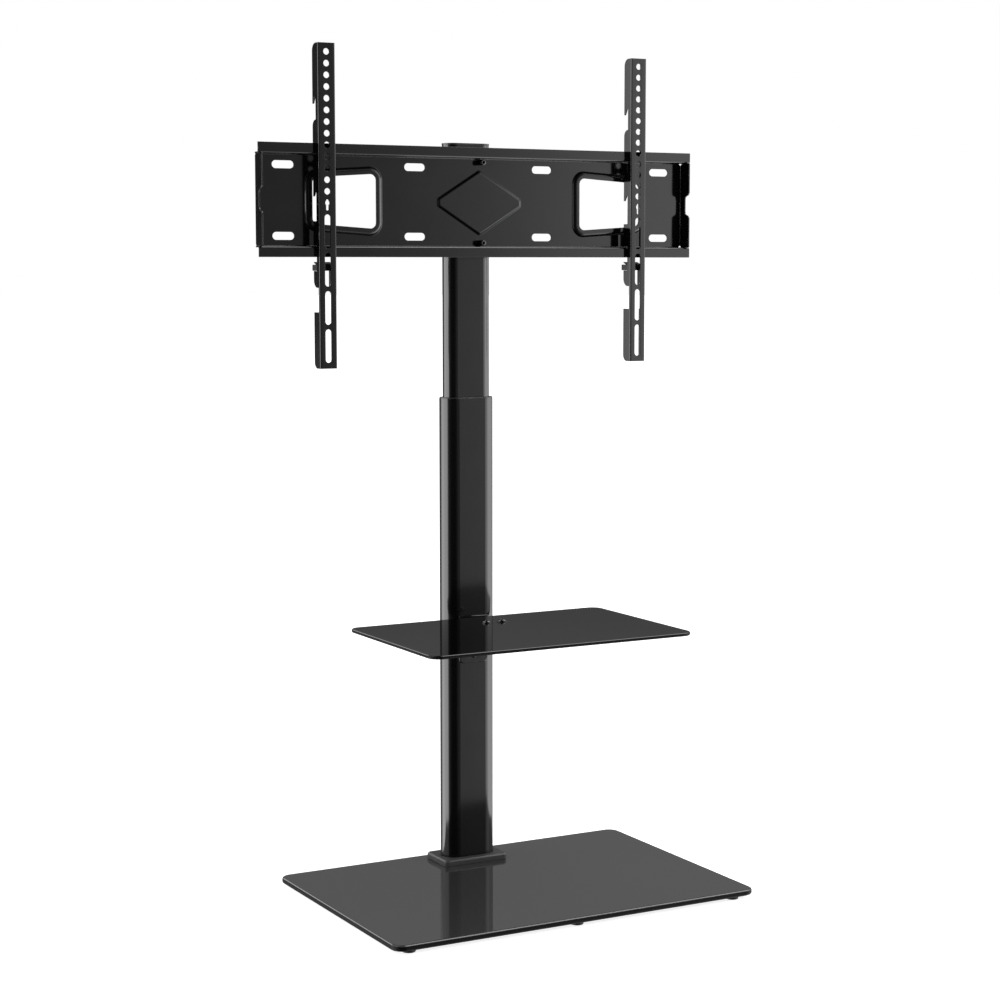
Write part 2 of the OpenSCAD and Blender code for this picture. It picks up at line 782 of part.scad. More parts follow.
module column_bracket() {
    color([0.18, 0.18, 0.18]) difference() {
        union() {
            translate([-column_bracket_w / 2, upper_front - swivel_t, head_z - column_bracket_h / 2])
                cube([column_bracket_w, swivel_t, column_bracket_h]);
            for (z = [-inner_ear_z, inner_ear_z - ear_t]) translate([0, 0, head_z + z])
                ear(upper_front - swivel_t / 2, ear_t);
        }
        pivot_bore(inner_ear_z);
        at_column_screws(upper_front + overrun) cylinder(r = m6_d / 2 + screw_clear, h = swivel_t + 2 * overrun);
    }
}

module mast_rivet_nuts() {
    color([0.7, 0.7, 0.7]) at_column_screws(upper_front) rivet_nut(upper_wall);
}

module column_bracket_screws() {
    color([0.12, 0.12, 0.12]) at_column_screws(upper_front - swivel_t) button_screw(swivel_t + rivet_nut_l);
}

module plate_bracket() {
    color([0.18, 0.18, 0.18]) difference() {
        union() {
            translate([-plate_bracket_w / 2, plate_bracket_y, head_z - plate_bracket_h / 2])
                cube([plate_bracket_w, swivel_t, plate_bracket_h]);
            for (z = [-outer_ear_z - ear_t, outer_ear_z]) translate([0, 0, head_z + z])
                ear(plate_bracket_y + swivel_t / 2, ear_t);
        }
        pivot_bore(outer_ear_z + ear_t);
        at_plate_screws(plate_bracket_y + swivel_t + overrun)
            cylinder(r = plate_screw_d / 2 + screw_clear, h = swivel_t + 2 * overrun);
    }
}

module pivot_bolt() {
    top = outer_ear_z + ear_t;
    l = 2 * top + pivot_nut_h + pivot_thread_run;
    color([0.6, 0.6, 0.6]) translate([0, pivot_y, head_z + top]) {
        hexagon(pivot_head_af, pivot_head_h);
        translate([0, 0, -l]) cylinder(d = pivot_d, h = l);
    }
}

module pivot_washers() {
    color([0.1, 0.1, 0.1]) for (z = [-outer_ear_z, outer_ear_z - pivot_washer_t])
        translate([0, pivot_y, head_z + z]) difference() {
            cylinder(d = pivot_washer_d, h = pivot_washer_t);
            translate([0, 0, -overrun])
                cylinder(r = pivot_d / 2 + thread_clear, h = pivot_washer_t + 2 * overrun);
        }
}

module pivot_nut() {
    color([0.6, 0.6, 0.6]) translate([0, pivot_y, head_z - outer_ear_z - ear_t])
        nut(pivot_head_af, pivot_nut_h, pivot_d);
}

// Mounting plate

// Half of the hat section in Y and Z, above the plate's middle
module half_hat() {
    translate([web_y, 0]) square([plate_t, flange_out - bend_out]);
    translate([web_y + plate_t - bend_out, flange_out - bend_out]) bend(plate_t, 0);
    translate([lip_y + bend_out, flange_in]) square([hat_depth - bend_out - bend_r, plate_t]);
    translate([lip_y + bend_out, flange_out + bend_r]) bend(plate_t, 180);
    translate([lip_y, flange_out + bend_r]) square([plate_t, lip_h - bend_r]);
}

// End flap in X and Y at the right end, with its bend out of the web
module flap_outline() {
    translate([flap_x - bend_out, web_y + plate_t - bend_out]) bend(plate_t, 0);
    translate([flap_x - plate_t, flap_y]) square([plate_t, web_y + plate_t - bend_out - flap_y]);
    translate([flap_x - bend_out - overrun, web_y]) square([overrun, plate_t]);
}

// Corner centres of a window, drawn to the right of the plate's middle
window_slope = (window_h0 - window_h1) / (max(window_x1s) - window_x0);
function window_corner(x, side) =
    [x, side * (window_h0 - window_slope * (x - window_x0) - window_r * sqrt(1 + window_slope * window_slope))];
function window_corners(far_x) = [
    window_corner(window_x0 + window_r, -1), window_corner(far_x - window_r, -1),
    window_corner(far_x - window_r, 1), window_corner(window_x0 + window_r, 1)
];

// Corner centres of the centre panel
panel_side_x = panel_x - panel_r - emboss_slope;
panel_top_z = panel_z - panel_r - emboss_slope;
panel_corners = [
    [-panel_side_x, -panel_blunt], [0, -panel_top_z], [panel_side_x, -panel_blunt],
    [panel_side_x, panel_blunt], [0, panel_top_z], [-panel_side_x, panel_blunt]
];

// Radius of a rim's crest around the window's corner centres
rim_crest_r = window_r + rim_w - emboss_slope;

// Raised shape on the web's front face, with its sloping wall drawn on down to the middle of the sheet
module embossed(centres, crest_r, rise) {
    root = plate_t / 2;
    translate([0, 0, -root])
        sloped_step(centres, crest_r + emboss_slope * (rise + root) / rise, crest_r, rise + root);
}

// Raised rims and centre panel on the web's front face
module embossing() {
    for (i = [0, 1]) mirror([1 - i, 0, 0]) embossed(window_corners(window_x1s[i]), rim_crest_r, rim_rise);
    embossed(panel_corners, panel_r, panel_rise);
}

// Hollows that the pressing leaves behind them, from the web's back face
module emboss_hollows() {
    for (i = [0, 1]) mirror([1 - i, 0, 0]) linear_extrude(rim_rise)
        round_cornered(window_corners(window_x1s[i]), rim_crest_r);
    linear_extrude(panel_rise) round_cornered(panel_corners, panel_r);
}

// Notch in the free edge of an end flap in Y and Z, with round edges that run into each other
module flap_notch() {
    rise = flap_notch_mouth - flap_notch_neck;
    r = (flap_notch_depth * flap_notch_depth + rise * rise) / (4 * flap_notch_depth);
    inner_y = flap_y + flap_notch_depth - r;
    difference() {
        polygon([
            [flap_y - overrun, -flap_notch_mouth], [flap_y + r, -flap_notch_mouth], [inner_y, -flap_notch_neck],
            [inner_y, flap_notch_neck], [flap_y + r, flap_notch_mouth], [flap_y - overrun, flap_notch_mouth]
        ]);
        for (side = [-1, 1]) translate([flap_y + r, side * flap_notch_mouth]) circle(r);
    }
    for (side = [-1, 1]) translate([inner_y, side * flap_notch_neck]) circle(r);
    translate([inner_y, -flap_notch_neck]) square([r, 2 * flap_notch_neck]);
}

module tv_plate() {
    end_cut = plate_w;
    color([0.24, 0.24, 0.25]) translate([0, 0, head_z]) difference() {
        union() {
            difference() {
                along_x(plate_w) for (side = [0, 1]) mirror([0, side]) half_hat();
                for (side = [0, 1]) mirror([side, 0, 0])
                    translate([flap_x - bend_out, flap_y - overrun, -flange_in])
                        cube([end_cut, web_y - flap_y + plate_t + 2 * overrun, 2 * flange_in]);
            }
            for (side = [0, 1]) mirror([side, 0, 0]) translate([0, 0, -(flange_in - flap_gap)])
                linear_extrude(2 * (flange_in - flap_gap)) flap_outline();
            facing_front(web_y, 0) embossing();
        }
        facing_front(web_y + plate_t, 0) emboss_hollows();
        facing_front(web_y + plate_t + overrun, 0) {
            linear_extrude(hat_depth) {
                for (i = [0, 1]) mirror([1 - i, 0]) round_cornered(window_corners(window_x1s[i]), window_r);
                for (x = [-1, 1], z = [-1, 1], at = [plate_slot_outer_x, plate_slot_inner_x])
                    translate([x * at, z * plate_slot_z]) slot_outline(plate_slot_l, plate_slot_w);
                for (z = [-1, 1]) translate([0, z * plate_screw_z]) circle(plate_screw_d / 2 + screw_clear);
            }
        }
        facing_front(web_y + plate_t + overrun, 0) for (x = [-1, 1], z = [-1, 1])
            translate([x * (flap_x - bend_out + relief_d / 4), z * flange_in, 0])
                cylinder(d = relief_d, h = overrun + bend_out + relief_d / 2);
        along_x(plate_w) flap_notch();
    }
}

module plate_screws() {
    color([0.35, 0.35, 0.36]) at_plate_screws(web_y) {
        difference() {
            cylinder(d = plate_screw_head_d, h = plate_screw_reach);
            translate([0, 0, plate_screw_reach - m6_socket_af]) hexagon(m6_socket_af, m6_socket_af + overrun);
        }
        shank = plate_t + swivel_t + m6_nut_h;
        translate([0, 0, -shank]) cylinder(d = plate_screw_d, h = shank);
    }
}

module plate_nuts() {
    color([0.6, 0.6, 0.6]) at_plate_screws(plate_bracket_y + swivel_t) nut(m6_nut_af, m6_nut_h, plate_screw_d);
}

// Arms, drawn with their top end at z = 0, their middle at x = 0 and their front face at y = 0

// Channel section in X and Y, with a deep flange on the left and a shallow one on the right
module channel_outline() {
    flange_x = arm_w / 2 - arm_bend_out;
    depths = [arm_right_depth, arm_depth];
    translate([-flange_x, 0]) square([2 * flange_x, arm_t]);
    for (side = [0, 1]) mirror([side, 0]) {
        translate([flange_x, arm_bend_out]) bend(arm_t, -90);
        translate([arm_w / 2 - arm_t, arm_bend_out]) square([arm_t, depths[side] - arm_bend_out]);
    }
}

// Notch behind a tapered tooth, with the round shoulder below it where r is not zero
module hook_notch(drop, tooth, h, r) {
    polygon([
        [notch_depth, -drop], [notch_depth, -drop - h], [arm_depth + overrun, -drop - h],
        [arm_depth + overrun, -drop - tooth], [arm_depth - tooth_tip_t, -drop - tooth],
        [notch_depth + notch_roof, -drop]
    ]);
    if (r > 0) translate([arm_depth - r, -drop - h - r]) difference() {
        square([r + overrun, r]);
        circle(r);
    }
}

// Side outline of a flange in Y and Z
module flange_outline() {
    difference() {
        union() {
            translate([arm_depth - arm_top_r, -arm_top_r]) circle(arm_top_r);
            translate([arm_depth - arm_bottom_r, arm_bottom_r - arm_l]) circle(arm_bottom_r);
            translate([0, -arm_top_r]) square([arm_depth - arm_top_r, arm_top_r]);
            translate([0, -arm_l]) square([arm_depth - arm_bottom_r, arm_bottom_r]);
            translate([0, arm_bottom_r - arm_l]) square([arm_depth, arm_l - arm_top_r - arm_bottom_r]);
        }
        hook_notch(hook_drops[0], tooth_lengths[0], notch_heights[0], shoulder_r);
        hook_notch(hook_drops[1], tooth_lengths[1], notch_heights[1], shoulder_r);
        hook_notch(hook_drops[2], tooth_lengths[2], notch_heights[2], 0);
        translate([notch_depth, -latch_ear_drop]) square([arm_depth, latch_notch_h]);
        difference() {
            translate([waist_depth, -waist_drop - waist_h]) square([arm_depth, waist_h + latch_ear_r]);
            translate([arm_depth - latch_ear_r, latch_ear_r - waist_drop]) circle(latch_ear_r);
            translate([0, -waist_drop]) square([arm_depth - latch_ear_r, latch_ear_h]);
        }
    }
}

module arm() {
    color([0.26, 0.26, 0.27]) translate([0, arm_y, arm_top]) difference() {
        intersection() {
            translate([0, 0, -arm_l]) linear_extrude(arm_l) channel_outline();
            along_x(arm_w) flange_outline();
        }
        facing_front(arm_t + overrun, 0) linear_extrude(arm_t + 2 * overrun) {
            for (i = [0 : arm_holes - 1])
                translate([0, -arm_hole_drop - i * arm_hole_pitch]) circle(d = arm_hole_d);
            translate([0, -arm_hole_drop - arm_holes * arm_hole_pitch]) {
                circle(d = keyhole_d);
                translate([0, -keyhole_shift]) rotate(90) slot_outline(keyhole_slot_l, keyhole_slot_w);
            }
            for (i = [0 : arm_slots - 1])
                translate([0, -arm_slot_drop - i * arm_slot_pitch]) rotate(90) slot_outline(arm_slot_l, arm_slot_w);
        }
    }
}

module left_arm() {
    translate([-arm_x, 0, 0]) arm();
}

module right_arm() {
    translate([arm_x, 0, 0]) arm();
}

// Side outline of a latch's cross block and of its slanted hook in Y and Z
module latch_outline() {
    hook_foot = latch_block_top - latch_rear_r;
    tip = latch_block_top + latch_hook_rise;
    translate([latch_front, latch_block_z]) square([latch_rear - latch_rear_r - latch_front, latch_block_h]);
    translate([latch_rear - latch_rear_r, latch_block_z + latch_rear_r])
        square([latch_rear_r, latch_block_h - 2 * latch_rear_r]);
    for (z = [latch_block_z + latch_rear_r, latch_block_top - latch_rear_r])
        translate([latch_rear - latch_rear_r, z]) circle(latch_rear_r);
    polygon([
        [latch_hook_y, hook_foot], [latch_hook_y + latch_hook_t, hook_foot],
        [latch_hook_y + latch_hook_t, latch_block_top], [latch_hook_reach, tip - latch_hook_t / 2],
        [latch_hook_reach, tip], [latch_hook_y, latch_block_top + latch_hook_t / 2]
    ]);
}

// Latch in an arm: two legs in the channel, a cross block in the latch notch and a hook for the lower lip
module latch() {
    leg_x = arm_w / 2 - arm_t - slide_clear;
    color([0.1, 0.1, 0.1]) translate([0, arm_y, arm_top]) {
        for (side = [0, 1]) mirror([side, 0, 0])
            translate([leg_x - latch_leg_w, arm_t + slide_clear, latch_block_top - latch_leg_l])
                cube([latch_leg_w, latch_front - arm_t, latch_leg_l]);
        along_x(arm_w) latch_outline();
    }
}

module left_latch() {
    translate([-arm_x, 0, 0]) latch();
}

module right_latch() {
    translate([arm_x, 0, 0]) latch();
}

base_glass();
base_feet();
base_under_plate();
base_gasket_lower();
base_gasket_upper();
base_bolts();
column_foot();
base_collar();
lower_tube();
tube_liner();
lock_bosses();
lock_screws();
upper_tube();
mast_glide();
mast_cap();
shelf_glass();
shelf_bracket();
shelf_rivet_nuts();
shelf_bracket_screws();
shelf_pad();
shelf_screws();
shelf_washers();
shelf_nuts();
column_bracket();
mast_rivet_nuts();
column_bracket_screws();
plate_bracket();
pivot_bolt();
pivot_washers();
pivot_nut();
tv_plate();
plate_screws();
plate_nuts();
left_arm();
right_arm();
left_latch();
right_latch();
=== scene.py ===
import json
import math

import bmesh
import bpy
from mathutils import Matrix, Vector
from mathutils.geometry import delaunay_2d_cdt


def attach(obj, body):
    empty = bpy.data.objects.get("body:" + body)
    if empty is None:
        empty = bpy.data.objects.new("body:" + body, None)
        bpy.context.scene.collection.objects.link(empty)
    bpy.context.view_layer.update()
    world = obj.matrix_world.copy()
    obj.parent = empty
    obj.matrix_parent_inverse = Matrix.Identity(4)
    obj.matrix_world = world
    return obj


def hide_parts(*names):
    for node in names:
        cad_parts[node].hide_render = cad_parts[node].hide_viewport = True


# Looks of the TV stand. Every CAD node gets a finish, and the pieces whose edges the camera sees are built
# again with finer ones. A camera, a floor, lamps and a studio for the reflections stand around them.

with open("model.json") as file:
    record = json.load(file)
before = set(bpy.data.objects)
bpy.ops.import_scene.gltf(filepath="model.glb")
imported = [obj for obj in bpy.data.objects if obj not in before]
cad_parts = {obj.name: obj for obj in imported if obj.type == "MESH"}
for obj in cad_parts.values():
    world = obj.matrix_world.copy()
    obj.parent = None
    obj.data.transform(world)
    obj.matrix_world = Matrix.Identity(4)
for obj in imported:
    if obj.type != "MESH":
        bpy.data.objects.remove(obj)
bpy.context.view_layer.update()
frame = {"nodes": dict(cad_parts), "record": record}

MM = 0.001

# Camera, solved from the photograph's straight edges
FRAME_PX = 1000
SENSOR_MM = 36.0
FOCAL_PX = 2220.0
CAMERA_AT = Vector((-1.44266, -2.60244, 0.85736))
CAMERA_AZIMUTH = 28.612
CAMERA_DOWN = 6.056
CAMERA_ROLL = -0.024

# Sizes of the CAD model in millimetres: floor plate, collar and shelf
COLUMN_Y = 141.7
LOWER_FRONT = 122.15
BASE_W, BASE_D, BASE_Z, BASE_T, CORNER_R = 543.5, 372.6, 6.0, 8.5, 16.0
BASE_TOP = BASE_Z + BASE_T
BASE_EDGE_R, SHELF_EDGE_R = 3.2, 1.9
FOOT_X, FOOT_Y, FOOT_D = 244.75, 166.8, 18.0
BOLT_X, BOLT_Y, BOLT_HOLE_R = 22.0, 9.0, 4.0
COLLAR_W, COLLAR_D, COLLAR_H, COLLAR_R, COLLAR_BEVEL = 98.7, 62.4, 8.5, 6.0, 2.0
COLLAR_WALL, COLLAR_ROOF = 2.5, 2.0
TUBE_HALF_FLAT, COLLAR_BORE_R = 20.0, 19.85
SHELF_W, SHELF_D, SHELF_T, SHELF_TOP, SHELF_BACK = 394.3, 255.3, 5.0, 366.7, 112.8
SHELF_SCREW_X, SHELF_SCREW_Y, SCREW_HOLE_R = 12.0, 58.8, 3.3
BRACKET_W, BRACKET_T, LEG_TOP, LEG_H, LEG_R = 45.6, 3.0, 367.5, 66.8, 7.0
TONGUE_TOP, TONGUE_L = 360.7, 71.0
TONGUE_GAP, TONGUE_R, PAD_T = 0.3, 1.5, 1.0
GUSSET_X, GUSSET_L, GUSSET_H, GUSSET_T = 15.0, 40.0, 30.0, 3.0
BRACKET_SCREW_Z = (342.5, 312.95)

# Mounting plate; its pattern is flat, with x to the right and its height from the plate's middle
HEAD_Z = 941.1
WEB_Y, LIP_Y, PLATE_T, PLATE_W = 101.2, 83.4, 2.0, 664.6
BEND_R, SHEET_BEND, LIP_BEND = 1.0, 3.0, 4.0
BEND_STEPS = 6
WEB_HALF, FLANGE_IN, LIP_L = 58.5, 59.5, 11.5
FLAP_X, FLAP_Y, FLAP_GAP, FLAP_HALF = 329.55, 79.1, 0.05, 60.0
FLAP_START = FLAP_X - SHEET_BEND
V_FLANGE = WEB_HALF + SHEET_BEND
V_BEND = V_FLANGE + WEB_Y - BEND_R - LIP_Y - SHEET_BEND
V_LIP = V_BEND + LIP_BEND
NOTCH_DEPTH, NOTCH_MOUTH, NOTCH_NECK = 10.5, 19.5, 8.0
RELIEF_R = 2.6
PLATE_SLOTS = [(x, z) for x in (-290.3, -98.3, 98.3, 290.3) for z in (-46.4, 46.4)]
PLATE_SLOT_L, PLATE_SLOT_W = 31.0, 10.3
PLATE_SCREW_Z, PLATE_SCREW_D, PLATE_SCREW_REACH = 54.6, 7.8, 13.0
WINDOW_X0, WINDOW_X1, WINDOW_H0, WINDOW_H1, WINDOW_R = 157.5, (250.0, 255.0), 36.4, 30.0, 8.0
PANEL_X, PANEL_Z, PANEL_BLUNT = 60.4, 39.9, 3.0

# Arms and latches; heights run down from the top of an arm, depths back from its face
ARM_X, ARM_Y, ARM_TOP, ARM_L, ARM_T = 239.2, 73.9, 1143.9, 423.1, 2.0
ARM_HALF, ARM_BEND, ARM_DEPTHS = 12.2, 1.2, (18.8, 13.7)
ARM_FLAT = ARM_HALF - ARM_BEND
ARM_INNER_R, ARM_CORE, SKINS_MEET = 0.1, 8, 3.6
ARM_TOP_R, ARM_END_R, EAR_R = 10, 9, 10.5
HOOKS = ((69.3, 8.5, 29.2, 8.8), (128.5, 8.5, 30.0, 8.8), (190.8, 6.9, 39.2, 0.0))
NOTCH_INNER, NOTCH_ROOF, TOOTH_TIP = 8.9, 3.0, 2.2
LATCH_NOTCH = (261, 295)
WAIST, WAIST_DEPTH = (317, 349), 3.8
HOLE_DROP, HOLE_PITCH, HOLE_COUNT, HOLE_R = 11.4, 15, 13, 4.2
ARM_SLOT_DROP, ARM_SLOT_PITCH, ARM_SLOT_COUNT, ARM_SLOT_L, ARM_SLOT_W = 243.3, 50, 4, 44, 8.5
KEYHOLE_DROP, KEYHOLE_R, KEYHOLE_HALF, KEYHOLE_UP, KEYHOLE_DOWN = 206.4, 3.2, 1.85, 4.7, 9.9
LATCH_W, LATCH_FRONT, LATCH_REAR, LATCH_Z, LATCH_H, LATCH_R = 23.4, 9.2, 24.8, -294.7, 8.0, 1.5
LATCH_HOOK_Y, LATCH_HOOK_T, LATCH_REACH, LATCH_RISE = 11.8, 1.8, 19.9, 3.6
LATCH_LEG_Y, LATCH_LEG_X, LATCH_LEG_W, LATCH_LEG_L = (2.3, 9.5), (-9.4, 5.0), 4.4, 29

# Fasteners
SHANK_R, SHELF_SCREW_L, PLATE_SCREW_L = 3, 14.5, 10
BUTTON_R, BUTTON_H, BUTTON_SOCKET, BUTTON_DEEP = 5.25, 2.8, 4.0, 1.6
WASHER_R, WASHER_T, WASHER_BORE_R = 7.3, 0.8, 3.3
CAP_SOCKET_R, CAP_DEEP = 2.0, 4


def make_camera():
    az, el, roll = (math.radians(v) for v in (CAMERA_AZIMUTH, CAMERA_DOWN, CAMERA_ROLL))
    ahead = Vector((math.sin(az) * math.cos(el), math.cos(az) * math.cos(el), -math.sin(el)))
    right = Vector((math.cos(az), -math.sin(az), 0))
    up = right.cross(ahead)
    right, up = (right * math.cos(roll) + up * math.sin(roll), up * math.cos(roll) - right * math.sin(roll))
    data = bpy.data.cameras.new("camera")
    data.sensor_width = SENSOR_MM
    data.lens = SENSOR_MM * FOCAL_PX / FRAME_PX
    data.clip_start = 0.05
    data.clip_end = 200
    camera = bpy.data.objects.new("camera", data)
    basis = Matrix((right, up, -ahead)).transposed().to_4x4()
    camera.matrix_world = Matrix.Translation(CAMERA_AT) @ basis
    bpy.context.scene.collection.objects.link(camera)
    bpy.context.scene.camera = camera


# Node building


class Tree:
    """Short calls for building a node tree."""

    def __init__(self, tree):
        self.tree = tree
        tree.nodes.clear()

    def add(self, kind, settings=None, **inputs):
        node = self.tree.nodes.new(kind)
        for name, value in (settings or {}).items():
            setattr(node, name, value)
        for name, value in inputs.items():
            self.put(node.inputs[name.replace("_", " ")], value)
        return node

    def put(self, socket, value):
        if isinstance(value, bpy.types.NodeSocket):
            self.tree.links.new(value, socket)
        else:
            socket.default_value = value

    def math(self, operation, a, b=0.0):
        node = self.add("ShaderNodeMath", {"operation": operation})
        self.put(node.inputs[0], a)
        self.put(node.inputs[1], b)
        return node.outputs[0]

    def span(self, value, low, high, out_low=0.0, out_high=1.0, smooth=True):
        node = self.add("ShaderNodeMapRange", {"interpolation_type": "SMOOTHSTEP" if smooth else "LINEAR"})
        for name, v in (("Value", value), ("From Min", low), ("From Max", high), ("To Min", out_low),
                        ("To Max", out_high)):
            self.put(node.inputs[name], v)
        return node.outputs["Result"]

    def noise(self, vector, scale, detail=2.0):
        node = self.add("ShaderNodeTexNoise", Scale=scale, Detail=detail)
        self.put(node.inputs["Vector"], vector)
        return node.outputs["Fac"]

    def mix(self, factor, a, b):
        node = self.add("ShaderNodeMixShader")
        for socket, value in zip(node.inputs, (factor, a, b)):
            self.put(socket, value)
        return node.outputs[0]

    def shade(self, factor, dark, light):
        node = self.add("ShaderNodeMix", {"data_type": "RGBA"})
        self.put(node.inputs[0], factor)
        node.inputs[6].default_value = (*dark, 1)
        node.inputs[7].default_value = (*light, 1)
        return node.outputs[2]


# Finishes: patches per metre, radius of shading's soft edges in metres, and the blue of greys over their red
PATCHES = 25.0
SOFT_EDGE = 0.0004
COOL = 1.03

# Glass: patches, wear, waves and grain per metre, the waves' height in metres, and the finish where it faces
# sideways or down: a rougher copy with its own tones that reflects less, painted shade
GLASS_PATCHES, GLASS_WEAR, GLASS_WAVES, GLASS_GRAIN = 8.0, 60.0, 6.0, 900.0
GLASS_ROUGHNESS, WAVE_HEIGHT = (0.03, 0.06), 0.00002
SHADED_SIDE_TONES, SHADED_SIDE_ROUGHNESS, SHADED_SIDE_SPECULAR = (0.002, 0.006), (0.3, 0.45), 0.06


def grey(v):
    return (v, v, v * COOL)


def material(name, tones, roughness, grain, bump, metallic=0.0, specular=0.5):
    """A finish whose colour and roughness vary in patches, with a bumpy grain of the given size in metres."""
    made = bpy.data.materials.new(name)
    made.use_nodes = True
    t = Tree(made.node_tree)
    at = t.add("ShaderNodeTexCoord").outputs["Object"]
    broad = t.noise(at, PATCHES, 3.0)
    fine = t.noise(at, 1 / grain, 2.0)
    shader = t.add("ShaderNodeBsdfPrincipled")
    shader.inputs["Metallic"].default_value = metallic
    shader.inputs["Specular IOR Level"].default_value = specular
    mixed = t.math("ADD", t.math("MULTIPLY", broad, 0.6), t.math("MULTIPLY", fine, 0.4))
    t.put(shader.inputs["Base Color"], t.shade(mixed, *(grey(v) for v in tones)))
    t.put(shader.inputs["Roughness"], t.span(mixed, 0.3, 0.7, *roughness, smooth=False))
    relief = t.add("ShaderNodeBump")
    relief.inputs["Strength"].default_value = 1.0
    relief.inputs["Distance"].default_value = bump
    t.put(relief.inputs["Height"], fine)
    rounding = t.add("ShaderNodeBevel", {"samples": 4}, Radius=SOFT_EDGE)
    t.put(relief.inputs["Normal"], rounding.outputs["Normal"])
    t.put(shader.inputs["Normal"], relief.outputs["Normal"])
    out = t.add("ShaderNodeOutputMaterial")
    t.put(out.inputs["Surface"], shader.outputs["BSDF"])
    return made


def glass(name, tones):
    """Polished black glass with a faint roller wave; its sides and undersides get a duller, darker copy of
    the finish, painted shade.
    """
    made = bpy.data.materials.new(name)
    made.use_nodes = True
    t = Tree(made.node_tree)
    at = t.add("ShaderNodeTexCoord").outputs["Object"]
    broad = t.noise(at, GLASS_PATCHES, 2.0)
    face = t.add("ShaderNodeBsdfPrincipled")
    t.put(face.inputs["Base Color"], t.shade(broad, *(grey(v) for v in tones)))
    wear = t.noise(at, GLASS_WEAR, 3.0)
    t.put(face.inputs["Roughness"], t.span(wear, 0.3, 0.7, *GLASS_ROUGHNESS, smooth=False))
    wave = t.add("ShaderNodeBump")
    wave.inputs["Distance"].default_value = WAVE_HEIGHT
    t.put(wave.inputs["Height"], t.noise(at, GLASS_WAVES, 1.0))
    t.put(face.inputs["Normal"], wave.outputs["Normal"])
    # Painted shade: the copy for sides and undersides, rough, with its own tones and weak reflection
    shaded_side = t.add("ShaderNodeBsdfPrincipled")
    fine = t.noise(at, GLASS_GRAIN, 2.0)
    t.put(shaded_side.inputs["Base Color"], t.shade(fine, *(grey(v) for v in SHADED_SIDE_TONES)))
    t.put(shaded_side.inputs["Roughness"], t.span(fine, 0.3, 0.7, *SHADED_SIDE_ROUGHNESS, smooth=False))
    shaded_side.inputs["Specular IOR Level"].default_value = SHADED_SIDE_SPECULAR
    # Painted shade: faces turned sideways or down take the dark copy, faces turned up keep the polished one
    way = t.add("ShaderNodeSeparateXYZ")
    t.put(way.inputs[0], t.add("ShaderNodeNewGeometry").outputs["Normal"])
    edge = t.span(way.outputs["Z"], 0.3, 0.55, 1.0, 0.0)
    out = t.add("ShaderNodeOutputMaterial")
    t.put(out.inputs["Surface"], t.mix(edge, face.outputs["BSDF"], shaded_side.outputs["BSDF"]))
    return made


FINISHES = {
    "floor_glass": glass("floor_glass", (0.033, 0.037)),
    "shelf_glass": glass("shelf_glass", (0.001, 0.002)),
    "black_powder": material("black_powder", (0.001, 0.003), (0.10, 0.14), grain=0.0012, bump=0.000002),
    "black_plastic": material("black_plastic", (0.016, 0.022), (0.27, 0.34), grain=0.0008, bump=0.00001),
    "collar_plastic": material("collar_plastic", (0.050, 0.058), (0.29, 0.36), grain=0.0008, bump=0.00001,
                               specular=0.25),
    "latch_plastic": material("latch_plastic", (0.005, 0.009), (0.30, 0.38), grain=0.0008, bump=0.00001,
                              specular=0.2),
    "black_rubber": material("black_rubber", (0.010, 0.014), (0.6, 0.7), grain=0.0008, bump=0.00002),
    "zinc": material("zinc", (0.5, 0.62), (0.25, 0.35), grain=0.0006, bump=0.000006, metallic=1.0),
    "black_screw": material("black_screw", (0.07, 0.10), (0.2, 0.28), grain=0.0006, bump=0.000005,
                            metallic=1.0),
}


def dress_nodes():
    """Gives every CAD node the finish of its slot."""
    slots = {p["node"]: p["material_slot"] for p in frame["record"]["subparts"]}
    for name, node in frame["nodes"].items():
        node.data.materials.clear()
        node.data.materials.append(FINISHES[slots[name]])


# Flat outlines, counter-clockwise lists of (u, v) in millimetres


def arc(u, v, r, start, end, n):
    turns = [math.radians(start + (end - start) * i / n) for i in range(n + 1)]
    return [(u + r * math.cos(a), v + r * math.sin(a)) for a in turns]


def circle(u, v, r, n=48):
    return arc(u, v, r, 0, 360, n)[:-1]


def slot_loop(u, v, length, width, upright=False, n=16):
    r = width / 2
    h = length / 2 - r
    if upright:
        return arc(u, v + h, r, 0, 180, n) + arc(u, v - h, r, 180, 360, n)
    return arc(u + h, v, r, -90, 90, n) + arc(u - h, v, r, 90, 270, n)


def rounded(centres, r, n=16):
    """Outline at the distance r around a convex polygon; n steps per quarter turn."""
    loop = []
    for i, (u, v) in enumerate(centres):
        before, after = centres[i - 1], centres[(i + 1) % len(centres)]
        start = math.degrees(math.atan2(v - before[1], u - before[0])) - 90
        turn = (math.degrees(math.atan2(after[1] - v, after[0] - u)) - 90 - start) % 360
        loop += arc(u, v, r, start, start + turn, max(2, math.ceil(n * turn / 90)))
    return loop


def rounded_rect(w, d, r, n=16):
    x, y = w / 2 - r, d / 2 - r
    return rounded([(-x, -y), (x, -y), (x, y), (-x, y)], r, n)


MITRE_LIMIT = 0.35


def normals(loop):
    """Outward normals at the corners of a counter-clockwise loop, long enough to move its sides by 1."""
    out = []
    for i, p in enumerate(loop):
        before, after = loop[i - 1], loop[(i + 1) % len(loop)]
        a = Vector((p[1] - before[1], before[0] - p[0])).normalized()
        b = Vector((after[1] - p[1], p[0] - after[0])).normalized()
        m = a + b
        out.append(m / max(m.length_squared / 2, MITRE_LIMIT))
    return out


def grown(loop, d):
    return [(p[0] + d * n.x, p[1] + d * n.y) for p, n in zip(loop, normals(loop))]


def within(p, loop):
    inside = False
    u, v = p
    for i, (u1, v1) in enumerate(loop):
        u0, v0 = loop[i - 1]
        if (v0 > v) != (v1 > v) and u < (u1 - u0) * (v - v0) / (v1 - v0) + u0:
            inside = not inside
    return inside


def boxed(loop):
    us, vs = [p[0] for p in loop], [p[1] for p in loop]
    return min(us), max(us), min(vs), max(vs)


# Mesh building


